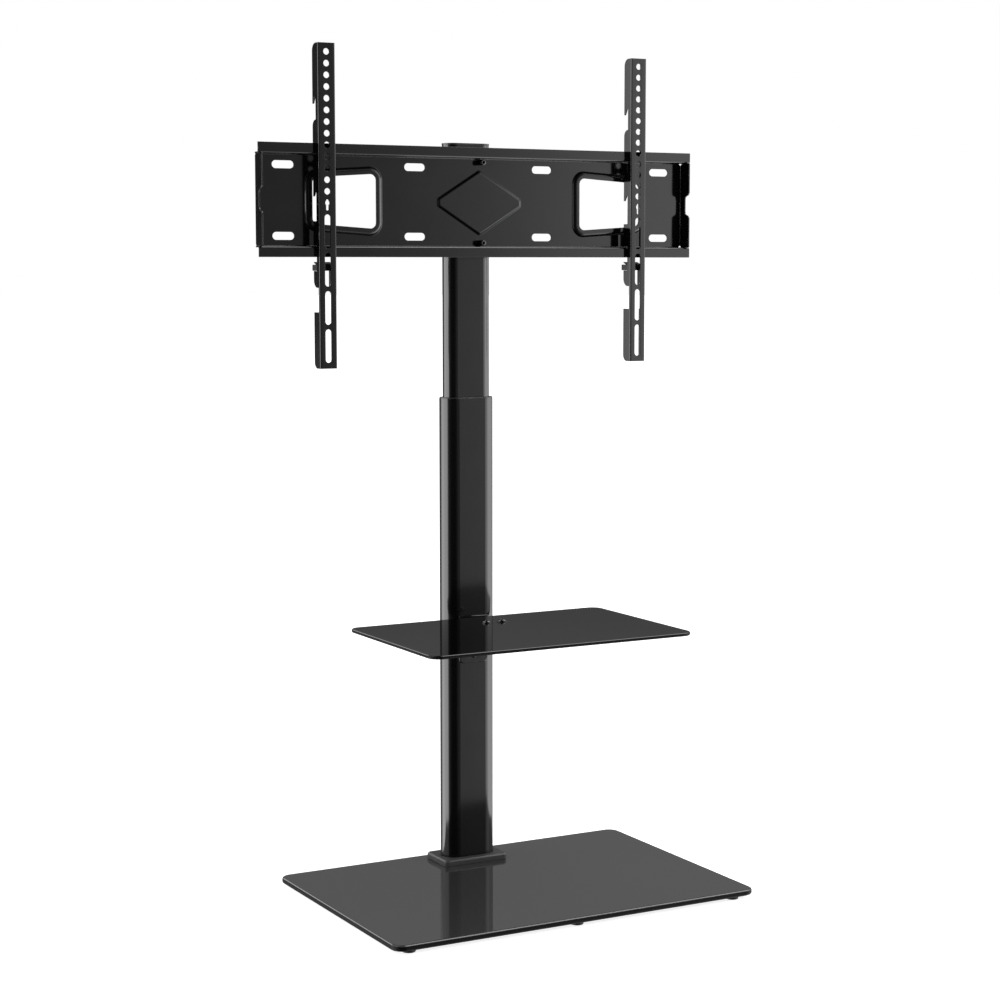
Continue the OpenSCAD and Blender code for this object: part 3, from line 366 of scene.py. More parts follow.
def round_edge(r, steps=3):
    """Profile of a rounded edge: pairs of outward reach and depth below the face."""
    turns = [math.radians(90 * i / steps) for i in range(1, steps + 1)]
    return [(r * math.sin(a), r * (1 - math.cos(a))) for a in turns]


def slab(bm, outer, holes, fold, t, profile, lines=(), contours=()):
    """Adds a sheet of thickness t with shaped edges, cut along lines and closed contours where it bends.
    fold(u, v, w) places a point at the depth w below its face."""
    reach = profile[-1][0]
    rims = [grown(outer, -reach)] + [grown(h, reach) for h in holes]
    points, edges = [], []
    for loop, closed in [(r, True) for r in (*rims, *contours)] + [(s, False) for s in lines]:
        first = len(points)
        points += loop
        edges += [(first + i, first + i + 1) for i in range(len(loop) - 1)]
        if closed:
            edges.append((len(points) - 1, first))
    flat, _, faces = delaunay_2d_cdt([Vector(p) for p in points], edges, [], 0, 1e-5)[:3]
    boxes = [boxed(r) for r in rims]
    kept = []
    for face in faces:
        u = sum(flat[i].x for i in face) / len(face)
        v = sum(flat[i].y for i in face) / len(face)
        hits = [b[0] < u < b[1] and b[2] < v < b[3] and within((u, v), r) for b, r in zip(boxes, rims)]
        if hits[0] and not any(hits[1:]):
            kept.append(face)
    used = sorted({i for face in kept for i in face})
    top = {i: bm.verts.new(fold(flat[i].x, flat[i].y, 0.0)) for i in used}
    under = {i: bm.verts.new(fold(flat[i].x, flat[i].y, t)) for i in used}
    sides = []
    for face in kept:
        bm.faces.new([top[i] for i in face])
        bm.faces.new([under[i] for i in reversed(face)])
        sides += zip(face, face[1:] + face[:1])
    known = set(sides)
    rim = {a: b for a, b in sides if (b, a) not in known}
    while rim:
        start, at = next(iter(rim.items()))
        del rim[start]
        loop = [start]
        while at != start:
            loop.append(at)
            at = rim.pop(at)
        flat_loop = [flat[i] for i in loop]
        out = normals(flat_loop)
        rings = [[top[i] for i in loop]]
        for o, w in profile + [(o, t - w) for o, w in reversed(profile)]:
            rings.append([bm.verts.new(fold(p[0] + o * n.x, p[1] + o * n.y, w))
                          for p, n in zip(flat_loop, out)])
        rings.append([under[i] for i in loop])
        for a, b in zip(rings, rings[1:]):
            for i in range(len(loop)):
                bm.faces.new((a[i - 1], b[i - 1], b[i], a[i]))


def loft(bm, loops, ring=False):
    """Adds a skin over loops of equally many points, with closed ends or, as a ring, back to the first."""
    rings = [[bm.verts.new(Vector(p) * MM) for p in loop] for loop in loops]
    pairs = list(zip(rings, rings[1:]))
    if ring:
        pairs.append((rings[-1], rings[0]))
    for a, b in pairs:
        for i in range(len(a)):
            bm.faces.new((a[i - 1], a[i], b[i], b[i - 1]))
    if not ring:
        bm.faces.new(rings[0])
        bm.faces.new(rings[-1])


def turned(at, axis, profile, n=48):
    """Loops of a turned shape about an axis through a point; profile holds (radius, height) or, for a row
    that is hexagonal, (half the width across flats, height, True)."""
    axis = Vector(axis).normalized()
    side = axis.orthogonal().normalized()
    other = axis.cross(side)
    loops = []
    for r, h, *hexagonal in profile:
        loop = []
        for i in range(n):
            a = 2 * math.pi * i / n
            k = r / math.cos((a + math.pi / 6) % (math.pi / 3) - math.pi / 6) if hexagonal else r
            loop.append(Vector(at) + axis * h + (side * math.cos(a) + other * math.sin(a)) * k)
        loops.append(loop)
    return loops


def piece(name, bm, slot, body, node, finish=None):
    """Makes an object of the mesh that rides on the body and stands for the CAD node."""
    bmesh.ops.recalc_face_normals(bm, faces=bm.faces)
    mesh = bpy.data.meshes.new(name)
    bm.to_mesh(mesh)
    bm.free()
    mesh.polygons.foreach_set("use_smooth", [True] * len(mesh.polygons))
    mesh.materials.append(FINISHES[finish or slot])
    made = bpy.data.objects.new(name, mesh)
    bpy.context.scene.collection.objects.link(made)
    shading = made.modifiers.new("even_shading", "WEIGHTED_NORMAL")
    shading.mode = "FACE_AREA"
    shading.keep_sharp = False
    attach(made, body)
    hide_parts(node)


# Mounting plate


def window_centres(side):
    """Centres of the corner turns of the left (0) or right (1) window, which tapers outwards."""
    slope = (WINDOW_H0 - WINDOW_H1) / (max(WINDOW_X1) - WINDOW_X0)
    corners = []
    for x, s in ((WINDOW_X0 + WINDOW_R, -1), (WINDOW_X1[side] - WINDOW_R, -1),
                 (WINDOW_X1[side] - WINDOW_R, 1), (WINDOW_X0 + WINDOW_R, 1)):
        z = WINDOW_H0 - slope * (x - WINDOW_X0) - WINDOW_R * math.hypot(1, slope)
        corners.append((x, s * z))
    return corners if side else [(-x, z) for x, z in reversed(corners)]


# The raised rhombus at the plate's middle
PANEL = [(-PANEL_X, -PANEL_BLUNT), (0, -PANEL_Z), (PANEL_X, -PANEL_BLUNT),
         (PANEL_X, PANEL_BLUNT), (0, PANEL_Z), (-PANEL_X, PANEL_BLUNT)]


def pressed_wall(start, rise, slope, crest_r, foot_r):
    """Wall of a pressing that starts at a distance from a polygon and falls to the web at a slope in degrees:
    the distance at which it ends, its height at a distance, and the distances at which its mesh is cut."""
    t = math.radians(slope)
    crest_w, foot_w = crest_r * math.sin(t), foot_r * math.sin(t)
    crest_h, foot_h = crest_r * (1 - math.cos(t)), foot_r * (1 - math.cos(t))
    wall_w = (rise - crest_h - foot_h) / math.tan(t)
    end = start + crest_w + wall_w + foot_w

    def height(r):
        if r <= start:
            return rise
        if r <= start + crest_w:
            return rise - crest_r + math.sqrt(crest_r ** 2 - (r - start) ** 2)
        if r <= end - foot_w:
            return rise - crest_h - (r - start - crest_w) * math.tan(t)
        return foot_r - math.sqrt(foot_r ** 2 - (end - r) ** 2) if r < end else 0.0

    stops = [start + crest_w * k / 6 for k in range(7)] + [end - foot_w * (1 - k / 4) for k in range(5)]
    return end, height, stops


RIM_WALL = pressed_wall(start=12.3, rise=3.5, slope=56, crest_r=6.0, foot_r=1.2)
PANEL_WALL = pressed_wall(start=0.6, rise=2.5, slope=44, crest_r=2.2, foot_r=1.4)
RAISED = [(window_centres(0), *RIM_WALL), (window_centres(1), *RIM_WALL), (PANEL, *PANEL_WALL)]


def away(p, centres):
    """Distance of a point from a convex polygon, zero inside it."""
    best, outside = 1e9, False
    for i, b in enumerate(centres):
        a = centres[i - 1]
        du, dv = b[0] - a[0], b[1] - a[1]
        k = max(0.0, min(1.0, ((p[0] - a[0]) * du + (p[1] - a[1]) * dv) / (du * du + dv * dv)))
        best = min(best, math.hypot(p[0] - a[0] - k * du, p[1] - a[1] - k * dv))
        outside = outside or du * (p[1] - a[1]) - dv * (p[0] - a[0]) < 0
    return best if outside else 0.0


def lift(u, v):
    """Height of the pressing's relief in front of the web."""
    for centres, end, height, _ in RAISED:
        r = away((u, v), centres)
        if r < end:
            return height(r)
    return 0.0


def plate_fold(u, v, w):
    """Folds the plate's pattern into web, flanges, lips and end flaps; w is the depth behind its face."""
    s, side = abs(v), (1 if v >= 0 else -1)
    x, z = u, s
    if s <= WEB_HALF or (abs(u) > FLAP_START - 1 and s < FLAP_HALF):
        y = WEB_Y + w - (lift(u, v) if abs(u) < FLAP_START - 5 else 0)
        a = abs(u) - FLAP_START
        if a > 0:
            turn = math.pi / 2 * min(1.0, a / SHEET_BEND)
            x = math.copysign(FLAP_START + (BEND_R + w) * math.sin(turn), u)
            y = WEB_Y - BEND_R + (BEND_R + w) * math.cos(turn) - max(0.0, a - SHEET_BEND)
    elif s <= V_FLANGE:
        turn = math.pi / 2 * (s - WEB_HALF) / SHEET_BEND
        y = WEB_Y - BEND_R + (BEND_R + w) * math.cos(turn)
        z = WEB_HALF + (BEND_R + w) * math.sin(turn)
    elif s <= V_BEND:
        y = WEB_Y - BEND_R - (s - V_FLANGE)
        z = FLANGE_IN + w
    elif s <= V_LIP:
        turn = math.pi / 2 * (s - V_BEND) / (V_LIP - V_BEND)
        y = LIP_Y + SHEET_BEND - (SHEET_BEND - w) * math.sin(turn)
        z = FLANGE_IN + SHEET_BEND - (SHEET_BEND - w) * math.cos(turn)
    else:
        y = LIP_Y + w
        z = FLANGE_IN + SHEET_BEND + s - V_LIP
    return Vector((x, y, HEAD_Z + side * z)) * MM


def plate_outline():
    """Outline of the pattern: a quarter, from the notch in the flap's end past the relief hole to the lip,
    and its mirror images."""
    end = FLAP_START + SHEET_BEND + WEB_Y - BEND_R - FLAP_Y
    rise = NOTCH_MOUTH - NOTCH_NECK
    r = (NOTCH_DEPTH ** 2 + rise ** 2) / (4 * NOTCH_DEPTH)
    meet = math.degrees(math.atan2(rise, NOTCH_DEPTH - 2 * r))
    quarter = arc(end - NOTCH_DEPTH + r, NOTCH_NECK, r, 180, meet, 10)
    quarter += arc(end - r, NOTCH_MOUTH, r, 180 + meet, 360, 10)[1:]
    top = FLANGE_IN - FLAP_GAP
    u, v = FLAP_START + RELIEF_R / 2, FLAP_HALF
    start = math.degrees(math.asin((top - v) / RELIEF_R))
    stop = math.degrees(math.asin((V_FLANGE - v) / RELIEF_R))
    quarter += [(end, top)] + arc(u, v, RELIEF_R, start, stop - 360, 28)
    quarter += [(PLATE_W / 2, V_BEND - 2), (PLATE_W / 2, V_LIP + LIP_L)]
    back = quarter[::-1]
    right = [(u, -v) for u, v in back] + quarter
    return right + [(-u, -v) for u, v in right]


def make_plate():
    holes = [rounded(window_centres(side), WINDOW_R) for side in (0, 1)]
    holes += [slot_loop(x, z, PLATE_SLOT_L, PLATE_SLOT_W) for x, z in PLATE_SLOTS]
    holes += [circle(0, s * PLATE_SCREW_Z, SCREW_HOLE_R) for s in (-1, 1)]
    contours = [rounded(centres, r) for centres, _, _, stops in RAISED for r in stops]
    lines = []
    for k in range(BEND_STEPS + 1):
        for s in (-1, 1):
            for v in (s * (WEB_HALF + SHEET_BEND * k / BEND_STEPS), s * (V_BEND + LIP_BEND * k / BEND_STEPS)):
                lines.append([(-PLATE_W, v), (PLATE_W, v)])
            u = s * (FLAP_START + SHEET_BEND * k / BEND_STEPS)
            lines.append([(u, -FLAP_HALF), (u, FLAP_HALF)])
    bm = bmesh.new()
    slab(bm, plate_outline(), holes, plate_fold, PLATE_T, round_edge(0.35), lines, contours)
    piece("plate_pressing", bm, "black_powder", "head", "tv_plate")


# Arms and latches


def flange_path(depth):
    """Rear outline of an arm's flange from the top down, as (depth, height), cut off at the given depth."""
    full = ARM_DEPTHS[0]
    path = arc(full - ARM_TOP_R, -ARM_TOP_R, ARM_TOP_R, 90, 0, 16)
    for drop, tooth, h, r in HOOKS:
        path += [(full, -drop - tooth), (full - TOOTH_TIP, -drop - tooth), (NOTCH_INNER + NOTCH_ROOF, -drop),
                 (NOTCH_INNER, -drop), (NOTCH_INNER, -drop - h)]
        path += arc(full - r, -drop - h - r, r, 90, 0, 12) if r else [(full, -drop - h)]
    path += [(full, -LATCH_NOTCH[0]), (NOTCH_INNER, -LATCH_NOTCH[0]), (NOTCH_INNER, -LATCH_NOTCH[1]),
             (full, -LATCH_NOTCH[1])]
    path += arc(full - EAR_R, EAR_R - WAIST[0], EAR_R, 0, -90, 12)
    path += [(WAIST_DEPTH, -WAIST[0]), (WAIST_DEPTH, -WAIST[1]), (full, -WAIST[1])]
    path += arc(full - ARM_END_R, ARM_END_R - ARM_L, ARM_END_R, 0, -90, 12)
    cut = []
    for a, b in zip(path, path[1:]):
        if a[0] <= depth:
            cut.append(a)
        if (a[0] <= depth) != (b[0] <= depth):
            k = (depth - a[0]) / (b[0] - a[0])
            cut.append((depth, a[1] + k * (b[1] - a[1])))
    return cut + [path[-1]]


def keyhole(v):
    """A circle with a narrower slot through it, up and down."""
    r, half, top, low = KEYHOLE_R, KEYHOLE_HALF, v + KEYHOLE_UP, v - KEYHOLE_DOWN
    edge = math.degrees(math.acos(half / r))
    return (arc(0, v, r, -edge, edge, 12) + arc(0, top - half, half, 0, 180, 8)
            + arc(0, v, r, 180 - edge, 180 + edge, 12) + arc(0, low + half, half, 180, 360, 8))


def arm_fold(u, v, w):
    """Folds the channel's pattern; its depth below the face is reached between an outer and an inner skin."""
    side = abs(u)
    a = side - ARM_FLAT
    turn = math.pi / 2 * max(0.0, min(1.0, a / ARM_BEND))
    centre = ARM_HALF - ARM_T - ARM_INNER_R
    if a <= 0:
        x0, y0 = side, 0.0
        x1, y1 = side, ARM_T
        if side >= ARM_CORE:
            x1 = ARM_CORE + (side - ARM_CORE) * (centre - ARM_CORE) / (ARM_FLAT - ARM_CORE)
    else:
        x0 = ARM_FLAT + ARM_BEND * math.sin(turn)
        y0 = ARM_BEND * (1 - math.cos(turn)) + max(0.0, a - ARM_BEND)
        x1 = centre + ARM_INNER_R * math.sin(turn)
        y1 = ARM_T + ARM_INNER_R * (1 - math.cos(turn))
        if a > ARM_BEND:
            rest = SKINS_MEET - ARM_T - ARM_INNER_R
            y1 = max(y0, ARM_T + ARM_INNER_R + (a - ARM_BEND) * rest / (SKINS_MEET - ARM_BEND))
    k = w / ARM_T
    return Vector((math.copysign(x0 + k * (x1 - x0), u), ARM_Y + y0 + k * (y1 - y0), ARM_TOP + v)) * MM


def make_arms():
    right = [(ARM_FLAT + d, z) for d, z in flange_path(ARM_DEPTHS[1])]
    left = [(-ARM_FLAT - d, z) for d, z in flange_path(ARM_DEPTHS[0])]
    holes = [circle(0, -HOLE_DROP - HOLE_PITCH * i, HOLE_R) for i in range(HOLE_COUNT)]
    holes.append(keyhole(-KEYHOLE_DROP))
    holes += [slot_loop(0, -ARM_SLOT_DROP - ARM_SLOT_PITCH * i, ARM_SLOT_L, ARM_SLOT_W, upright=True)
              for i in range(ARM_SLOT_COUNT)]
    bends = [ARM_CORE] + [ARM_FLAT + ARM_BEND * k / 5 for k in range(6)] + [ARM_FLAT + SKINS_MEET]
    lines = [[(s * u, 1), (s * u, -ARM_L - 1)] for u in bends for s in (-1, 1)]
    for name, x in (("left", -ARM_X), ("right", ARM_X)):
        bm = bmesh.new()
        slab(bm, right[::-1] + left, holes, lambda u, v, w: arm_fold(u, v, w) + Vector((x * MM, 0, 0)), ARM_T,
             round_edge(0.3), lines)
        piece(name + "_arm_channel", bm, "black_powder", name + "_arm_body", name + "_arm")


def across(x):
    """Fold for an outline in Y and Z that is extruded along X from the given place."""
    return lambda u, v, w: Vector((x + w, u, v)) * MM


def make_latches():
    hook, top, tip = LATCH_HOOK_Y, LATCH_Z + LATCH_H, LATCH_Z + LATCH_H + LATCH_RISE
    rear = LATCH_REAR - LATCH_R
    outline = arc(rear, LATCH_Z + LATCH_R, LATCH_R, -90, 0, 5) + arc(rear, top - LATCH_R, LATCH_R, 0, 90, 5)
    outline += [(hook + LATCH_HOOK_T, top), (LATCH_REACH, tip - LATCH_HOOK_T / 2), (LATCH_REACH, tip),
                (hook, top + LATCH_HOOK_T / 2), (hook, top), (LATCH_FRONT, top), (LATCH_FRONT, LATCH_Z)]
    outline = [(ARM_Y + y, ARM_TOP + z) for y, z in outline]
    (near, far), low, high = LATCH_LEG_Y, top - LATCH_LEG_L, top - 0.3
    leg = [(ARM_Y + y, ARM_TOP + z) for y, z in ((near, low), (far, low), (far, high), (near, high))]
    for name, x in (("left", -ARM_X), ("right", ARM_X)):
        bm = bmesh.new()
        slab(bm, outline, [], across(x - LATCH_W / 2), LATCH_W, round_edge(0.4))
        for leg_x in LATCH_LEG_X:
            slab(bm, leg, [], across(x + leg_x), LATCH_LEG_W, round_edge(0.5))
        piece(name + "_latch_moulding", bm, "black_plastic", name + "_latch_body", name + "_latch",
              finish="latch_plastic")


# Floor plate, collar and shelf


def lying(cx, cy, top):
    """Fold for an outline seen from above, with its face at the given height."""
    return lambda u, v, w: Vector((cx + u, cy + v, top - w)) * MM


def standing(y):
    """Fold for an outline seen from the front, with its face at the given y."""
    return lambda u, v, w: Vector((u, y + w, v)) * MM


def make_glass():
    bm = bmesh.new()
    holes = [circle(x, COLUMN_Y + y, BOLT_HOLE_R) for x in (-BOLT_X, BOLT_X) for y in (-BOLT_Y, BOLT_Y)]
    outline = rounded_rect(BASE_W, BASE_D, CORNER_R, 24)
    slab(bm, outline, holes, lying(0, 0, BASE_TOP), BASE_T, round_edge(BASE_EDGE_R, 7))
    piece("floor_plate_glass", bm, "floor_glass", "stand", "base_glass")
    bm = bmesh.new()
    cy = SHELF_BACK - SHELF_D / 2
    holes = [circle(x, SHELF_SCREW_Y - cy, SCREW_HOLE_R) for x in (-SHELF_SCREW_X, SHELF_SCREW_X)]
    outline = rounded_rect(SHELF_W, SHELF_D, CORNER_R, 24)
    slab(bm, outline, holes, lying(0, cy, SHELF_TOP), SHELF_T, round_edge(SHELF_EDGE_R, 6))
    piece("shelf_plate_glass", bm, "shelf_glass", "stand", "shelf_glass")


def quarters(x, y, r, z, n=12):
    """Loop of four quarter turns around (+-x, +-y) on the column's axis."""
    loop = []
    for i, (sx, sy) in enumerate(((1, 1), (-1, 1), (-1, -1), (1, -1))):
        loop += [(u, v + COLUMN_Y, z) for u, v in arc(sx * x, sy * y, r, 90 * i, 90 * i + 90, n)]
    return loop


def make_collar():
    x, y, r = COLLAR_W / 2 - COLLAR_R, COLLAR_D / 2 - COLLAR_R, COLLAR_R
    top, roof = BASE_TOP + COLLAR_H, BASE_TOP + COLLAR_H - COLLAR_ROOF
    outside = ((r - 0.4, BASE_TOP), (r, BASE_TOP + 0.4), (r, top - COLLAR_BEVEL - 0.3),
               (r - 0.25, top - COLLAR_BEVEL + 0.15), (r - COLLAR_BEVEL + 0.35, top - 0.3),
               (r - COLLAR_BEVEL - 0.1, top))
    bore = ((COLLAR_BORE_R + 0.4, top), (COLLAR_BORE_R, top - 0.4), (COLLAR_BORE_R, roof))
    inside = ((r - COLLAR_WALL, roof), (r - COLLAR_WALL, BASE_TOP))
    loops = [quarters(x, y, reach, z) for reach, z in outside]
    loops += [quarters(TUBE_HALF_FLAT, 0, reach, z) for reach, z in bore]
    loops += [quarters(x, y, reach, z) for reach, z in inside]
    bm = bmesh.new()
    loft(bm, loops, ring=True)
    piece("foot_collar", bm, "black_plastic", "stand", "base_collar", finish="collar_plastic")


def make_feet():
    bm = bmesh.new()
    r = FOOT_D / 2
    profile = [(r - 2.5, 0.8), (r - 2.2, 0.0), (r - 0.6, 0.0), (r, 0.6), (r, 1.8), (r - 0.5, 2.1),
               (r - 0.5, 2.6), (r, 2.9), (r, BASE_Z - 0.3), (r - 0.3, BASE_Z)]
    for x, y in ((-1, -1), (0, -1), (1, -1), (-1, 1), (1, 1)):
        loft(bm, turned((x * FOOT_X, y * FOOT_Y, 0), (0, 0, 1), profile))
    piece("glide_feet", bm, "black_rubber", "stand", "base_feet")


def make_shelf_bracket():
    half, low = BRACKET_W / 2, LEG_TOP - LEG_H
    leg = [(half, LEG_TOP), (-half, LEG_TOP)]
    leg += arc(-half + LEG_R, low + LEG_R, LEG_R, 180, 270, 10)
    leg += arc(half - LEG_R, low + LEG_R, LEG_R, 270, 360, 10)
    bm = bmesh.new()
    holes = [circle(0, z, SCREW_HOLE_R) for z in BRACKET_SCREW_Z]
    slab(bm, leg, holes, standing(LOWER_FRONT - BRACKET_T), BRACKET_T, round_edge(1.4, 5))
    tongue_end, tongue_back, tongue_top = SHELF_BACK - TONGUE_L, LOWER_FRONT - TONGUE_GAP, TONGUE_TOP - PAD_T
    tongue_y = (tongue_end + tongue_back) / 2
    outline = rounded_rect(BRACKET_W, tongue_back - tongue_end, TONGUE_R)
    holes = [circle(x, SHELF_SCREW_Y - tongue_y, SCREW_HOLE_R) for x in (-SHELF_SCREW_X, SHELF_SCREW_X)]
    slab(bm, outline, holes, lying(0, tongue_y, tongue_top), BRACKET_T, round_edge(0.5))
    z, y = tongue_top - BRACKET_T, LOWER_FRONT - BRACKET_T
    gusset = [(y, z + 0.2), (y - GUSSET_L, z + 0.2), (y - GUSSET_L, z - 0.4), (y, z - GUSSET_H)]
    for x in (-GUSSET_X, GUSSET_X):
        slab(bm, gusset, [], across(x - GUSSET_T / 2), GUSSET_T, round_edge(0.3))
    piece("shelf_carrier", bm, "black_powder", "stand", "shelf_bracket")


# Fasteners


def button_head():
    """Profile of a domed head with a hexagonal socket."""
    rim, foot, core = BUTTON_SOCKET / 2, 0.25 * BUTTON_H, BUTTON_SOCKET * 0.72
    dome = [(BUTTON_R, 0), (BUTTON_R, foot)]
    for i in range(1, 7):
        a = math.radians(15 + 60 * i / 6)
        dome.append((core + (BUTTON_R - core) * math.cos(a), foot + (BUTTON_H - foot) * math.sin(a)))
    return dome + [(rim * 1.22, BUTTON_H), (rim * 1.04, BUTTON_H, True), (rim, BUTTON_H - 0.15, True),
                   (rim, BUTTON_H - BUTTON_DEEP, True), (rim * 0.25, BUTTON_H - BUTTON_DEEP - 0.3)]


def cap_head():
    """Profile of a tall straight head with a hexagonal socket."""
    r, reach, socket = PLATE_SCREW_D / 2, PLATE_SCREW_REACH, CAP_SOCKET_R
    return [(r - 0.2, 0), (r, 0.2), (r, reach - 0.6), (r - 0.6, reach), (socket + 0.45, reach),
            (socket + 0.08, reach, True), (socket, reach - 0.2, True), (socket, reach - CAP_DEEP, True),
            (0.5, reach - CAP_DEEP - 0.4)]


def screw(length, head):
    """Profile of a screw: a shank below the seat and the head's profile above it."""
    return [(SHANK_R - 0.5, -length), (SHANK_R, -length + 0.5), (SHANK_R, 0)] + head


def make_screws():
    seats = [(x, SHELF_SCREW_Y, SHELF_TOP) for x in (-SHELF_SCREW_X, SHELF_SCREW_X)]
    bm = bmesh.new()
    for x, y, z in seats:
        loft(bm, turned((x, y, z + WASHER_T), (0, 0, 1), screw(SHELF_SCREW_L, button_head())))
    piece("shelf_button_screws", bm, "black_screw", "stand", "shelf_screws")
    bm = bmesh.new()
    bore, r, t = WASHER_BORE_R, WASHER_R, WASHER_T
    ring = [(bore, 0.15), (bore + 0.15, 0), (r - 0.2, 0), (r, 0.2),
            (r, t - 0.2), (r - 0.2, t), (bore + 0.15, t), (bore, t - 0.15)]
    for seat in seats:
        loft(bm, turned(seat, (0, 0, 1), ring), ring=True)
    piece("shelf_plain_washers", bm, "black_screw", "stand", "shelf_washers")
    bm = bmesh.new()
    for s in (-1, 1):
        loft(bm, turned((0, WEB_Y, HEAD_Z + s * PLATE_SCREW_Z), (0, -1, 0), screw(PLATE_SCREW_L, cap_head())))
    piece("plate_cap_screws", bm, "black_screw", "head", "plate_screws")


# Stage


def ray_is(t, *kinds):
    """1 for rays of the given kinds, 0 for others."""
    path = t.add("ShaderNodeLightPath")
    total = path.outputs[kinds[0]]
    for kind in kinds[1:]:
        total = t.math("ADD", total, path.outputs[kind])
    return t.math("MINIMUM", total, 1.0)


# Radiance that glossy surfaces see by azimuth, in degrees from -Y towards +X: a bright wall along the left
# side, a dark front, which the camera stands in, and a wide soft light on the right
STUDIO = ((-160, 0.02), (-155, 0.05), (-151, 0.5), (-147, 1.5), (-140, 3.4), (-131, 5.0),
          (-118, 5.7), (-82, 5.7), (-77, 4.3), (-72, 1.0), (-66, 0.3), (-52, 0.08),
          (-40, 0.02), (-12, 0.02), (-4, 0.05), (4, 0.14), (12, 0.28), (20, 0.33), (24, 0.36),
          (28, 0.68), (32, 1.78), (37, 2.1), (46, 3.2), (54, 4.7), (62, 4.6), (72, 4.0),
          (86, 2.9), (102, 2.1), (114, 0.8), (126, 0.2), (140, 0.05))
STUDIO_PEAK = 6.0

# Radiance of the studio's darkest places, and of the world for diffuse light
DIMMEST = 0.01
FILL = 0.45

# Round lights: azimuth, elevation and radius in degrees, and radiance
ROUND_LIGHTS = ((66, 58, 16, 5.2), (-162, 27, 9, 2.6))
ROUND_SOFTNESS = 0.1


def direction(azimuth, elevation):
    """Direction at an azimuth from -Y towards +X and an elevation, both in radians."""
    return Vector((math.sin(azimuth) * math.cos(elevation), -math.cos(azimuth) * math.cos(elevation),
                   math.sin(elevation)))


def studio_ramp(t, azimuth):
    """The studio's radiance at an azimuth in radians."""
    ramp = t.add("ShaderNodeValToRGB")
    t.put(ramp.inputs[0], t.math("ADD", t.math("DIVIDE", azimuth, 2 * math.pi), 0.5))
    stops = ramp.color_ramp.elements
    while len(stops) > 1:
        stops.remove(stops[-1])
    for i, (degrees, radiance) in enumerate(STUDIO):
        stop = stops.new(degrees / 360 + 0.5) if i else stops[0]
        stop.position = degrees / 360 + 0.5
        stop.color = (*[radiance / STUDIO_PEAK] * 3, 1)
    return t.math("MULTIPLY", ramp.outputs[0], STUDIO_PEAK)


def studio_extent(t, azimuth, height):
    """How much the studio's walls shine at a height, the sine of the elevation: low at the front and on the
    left, tall on the right. A span has the range over which a factor changes, and the factor before and
    after it."""
    front = t.span(azimuth, math.radians(-40), math.radians(10), 0.22, 0.42)
    band = t.math("MULTIPLY", t.span(height, 0.18, 0.25, 1.0, 2.1), t.span(height, 0.30, 0.40, 1.0, 0.48))
    low = t.math("MULTIPLY", t.span(height, 0.11, 0.18, 1.0, front), band)
    tall = t.math("ADD", t.span(height, 0.11, 0.18, 1.0, 0.4), t.span(height, 0.4, 0.5, 0.0, 0.6))
    tall = t.math("MULTIPLY", tall, t.span(height, 0.64, 0.8, 1.0, 0.0))
    right = t.span(azimuth, math.radians(45), math.radians(70))
    rest = t.math("MULTIPLY", t.math("SUBTRACT", 1.0, right), low)
    extent = t.math("ADD", t.math("MULTIPLY", right, tall), rest)
    return t.math("MULTIPLY", extent, t.span(height, -0.97, -0.85))


def studio_rear(t, azimuth, height):
    """Light behind the object, the same on both sides: a pale wall above, and the floor below."""
    turn = t.math("ABSOLUTE", azimuth)
    wall, wide, narrow = (t.math("MULTIPLY", t.span(turn, math.radians(start), math.radians(end)),
                                 t.span(height, *reach))
                          for start, end, reach in ((118, 146, (0.08, 0.30, 0.0, 0.29)),
                                                    (100, 128, (-0.17, -0.05, 0.32, 0.0)),
                                                    (149, 155, (-0.10, 0.0, 0.26, 0.0))))
    return t.math("ADD", wall, t.math("MAXIMUM", wide, narrow))


def make_world():
    """White behind everything for the camera, and the studio's lights and dark walls for glossy surfaces."""
    world = bpy.data.worlds.new("studio")
    bpy.context.scene.world = world
    world.use_nodes = True
    t = Tree(world.node_tree)
    fill = t.add("ShaderNodeBackground", Color=(1, 1, 1, 1), Strength=FILL)
    white = t.add("ShaderNodeBackground", Color=(1, 1, 1, 1), Strength=1.0)
    way = t.add("ShaderNodeTexCoord").outputs["Generated"]
    parts = t.add("ShaderNodeSeparateXYZ")
    t.put(parts.inputs[0], way)
    azimuth = t.math("ARCTAN2", parts.outputs["X"], t.math("MULTIPLY", parts.outputs["Y"], -1.0))
    height = parts.outputs["Z"]
    level = t.math("MULTIPLY", studio_ramp(t, azimuth), studio_extent(t, azimuth, height))
    for *place, radiance in ROUND_LIGHTS:
        az, el, radius = (math.radians(v) for v in place)
        toward = t.add("ShaderNodeVectorMath", {"operation": "DOT_PRODUCT"})
        t.put(toward.inputs[0], way)
        t.put(toward.inputs[1], direction(az, el))
        rim, full = math.cos(radius + ROUND_SOFTNESS), math.cos(radius)
        level = t.math("ADD", level, t.span(toward.outputs["Value"], rim, full, 0.0, radiance))
    level = t.math("ADD", level, studio_rear(t, azimuth, height))
    room = t.add("ShaderNodeBackground", Color=(1, 1, 1, 1))
    t.put(room.inputs["Strength"], t.math("ADD", level, DIMMEST))
    lit = t.mix(ray_is(t, "Is Glossy Ray"), fill.outputs[0], room.outputs[0])
    seen = t.mix(ray_is(t, "Is Camera Ray", "Is Transmission Ray"), lit, white.outputs[0])
    out = t.add("ShaderNodeOutputWorld")
    t.put(out.inputs["Surface"], seen)


# Floor: radius and paint, and the distance from the object and the glow there, near and far
FLOOR_R, FLOOR_PAINT = 60, 0.8
GLOW_NEAR, GLOW_FAR = (0.5, 0.84), (2.5, 1.0)


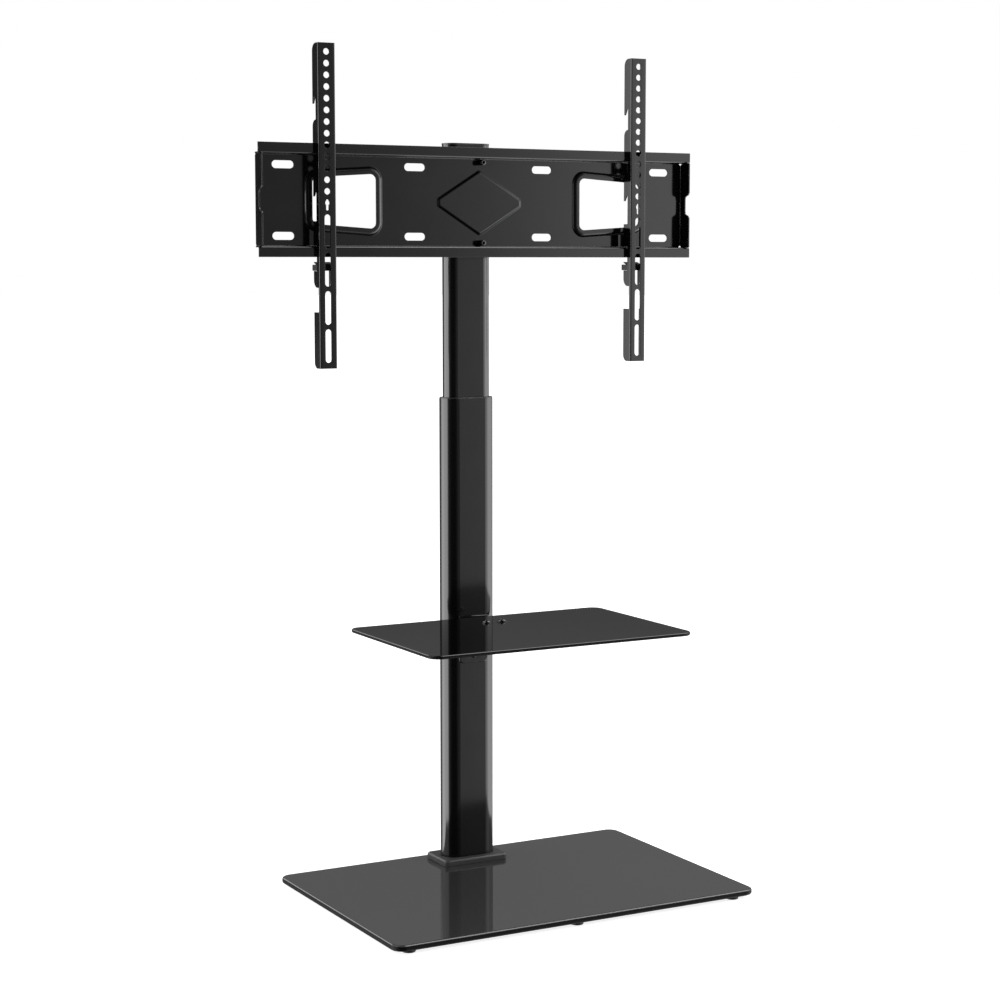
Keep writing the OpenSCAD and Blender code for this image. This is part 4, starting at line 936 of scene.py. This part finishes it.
def make_floor():
    """A pale floor that takes the object's shadow and glows white for the camera, a little less close by."""
    mesh = bpy.data.meshes.new("floor")
    bm = bmesh.new()
    bmesh.ops.create_circle(bm, cap_ends=True, segments=96, radius=FLOOR_R)
    bm.to_mesh(mesh)
    bm.free()
    floor = bpy.data.objects.new("floor", mesh)
    bpy.context.scene.collection.objects.link(floor)
    made = bpy.data.materials.new("pale_floor")
    made.use_nodes = True
    t = Tree(made.node_tree)
    paint = t.add("ShaderNodeBsdfDiffuse", Color=(FLOOR_PAINT, FLOOR_PAINT, FLOOR_PAINT, 1))
    glow = t.add("ShaderNodeEmission", Color=(1, 1, 1, 1))
    far = t.add("ShaderNodeVectorMath", {"operation": "LENGTH"})
    t.put(far.inputs[0], t.add("ShaderNodeTexCoord").outputs["Object"])
    seen = ray_is(t, "Is Camera Ray", "Is Transmission Ray")
    level = t.span(far.outputs["Value"], GLOW_NEAR[0], GLOW_FAR[0], GLOW_NEAR[1], GLOW_FAR[1])
    t.put(glow.inputs["Strength"], t.math("MULTIPLY", seen, level))
    both = t.add("ShaderNodeAddShader")
    t.put(both.inputs[0], paint.outputs[0])
    t.put(both.inputs[1], glow.outputs[0])
    out = t.add("ShaderNodeOutputMaterial")
    t.put(out.inputs["Surface"], both.outputs[0])
    mesh.materials.append(made)
    floor.visible_glossy = False
    floor.visible_shadow = False


# Lamps: azimuth and elevation in degrees, distance, width and height in metres, and radiance
LAMPS = {
    "key": (40, 28, 3.2, 1.6, 1.9, 4.5),
    "left": (-105, 15, 2.6, 1.8, 1.9, 3.0),
    "overhead": (66, 57, 2.6, 1.8, 1.6, 3.0),
}
LAMPS_AIM = Vector((0, 0, 0.5))


def make_lamps():
    """Soft lamps for diffuse light; glossy surfaces see the studio in the world instead."""
    for name, (azimuth, elevation, distance, width, height, radiance) in LAMPS.items():
        way = direction(math.radians(azimuth), math.radians(elevation))
        data = bpy.data.lights.new(name, "AREA")
        data.shape = "RECTANGLE"
        data.size, data.size_y = width, height
        data.energy = radiance * width * height * math.pi
        lamp = bpy.data.objects.new(name, data)
        lamp.location = LAMPS_AIM + way * distance
        lamp.rotation_mode = "QUATERNION"
        lamp.rotation_quaternion = (-way).to_track_quat("-Z", "Y")
        lamp.visible_glossy = False
        bpy.context.scene.collection.objects.link(lamp)


make_camera()
make_world()
make_floor()
make_lamps()

dress_nodes()
make_plate()
make_arms()
make_latches()
make_glass()
make_collar()
make_feet()
make_shelf_bracket()
make_screws()

bpy.context.scene.view_settings.view_transform = "Standard"
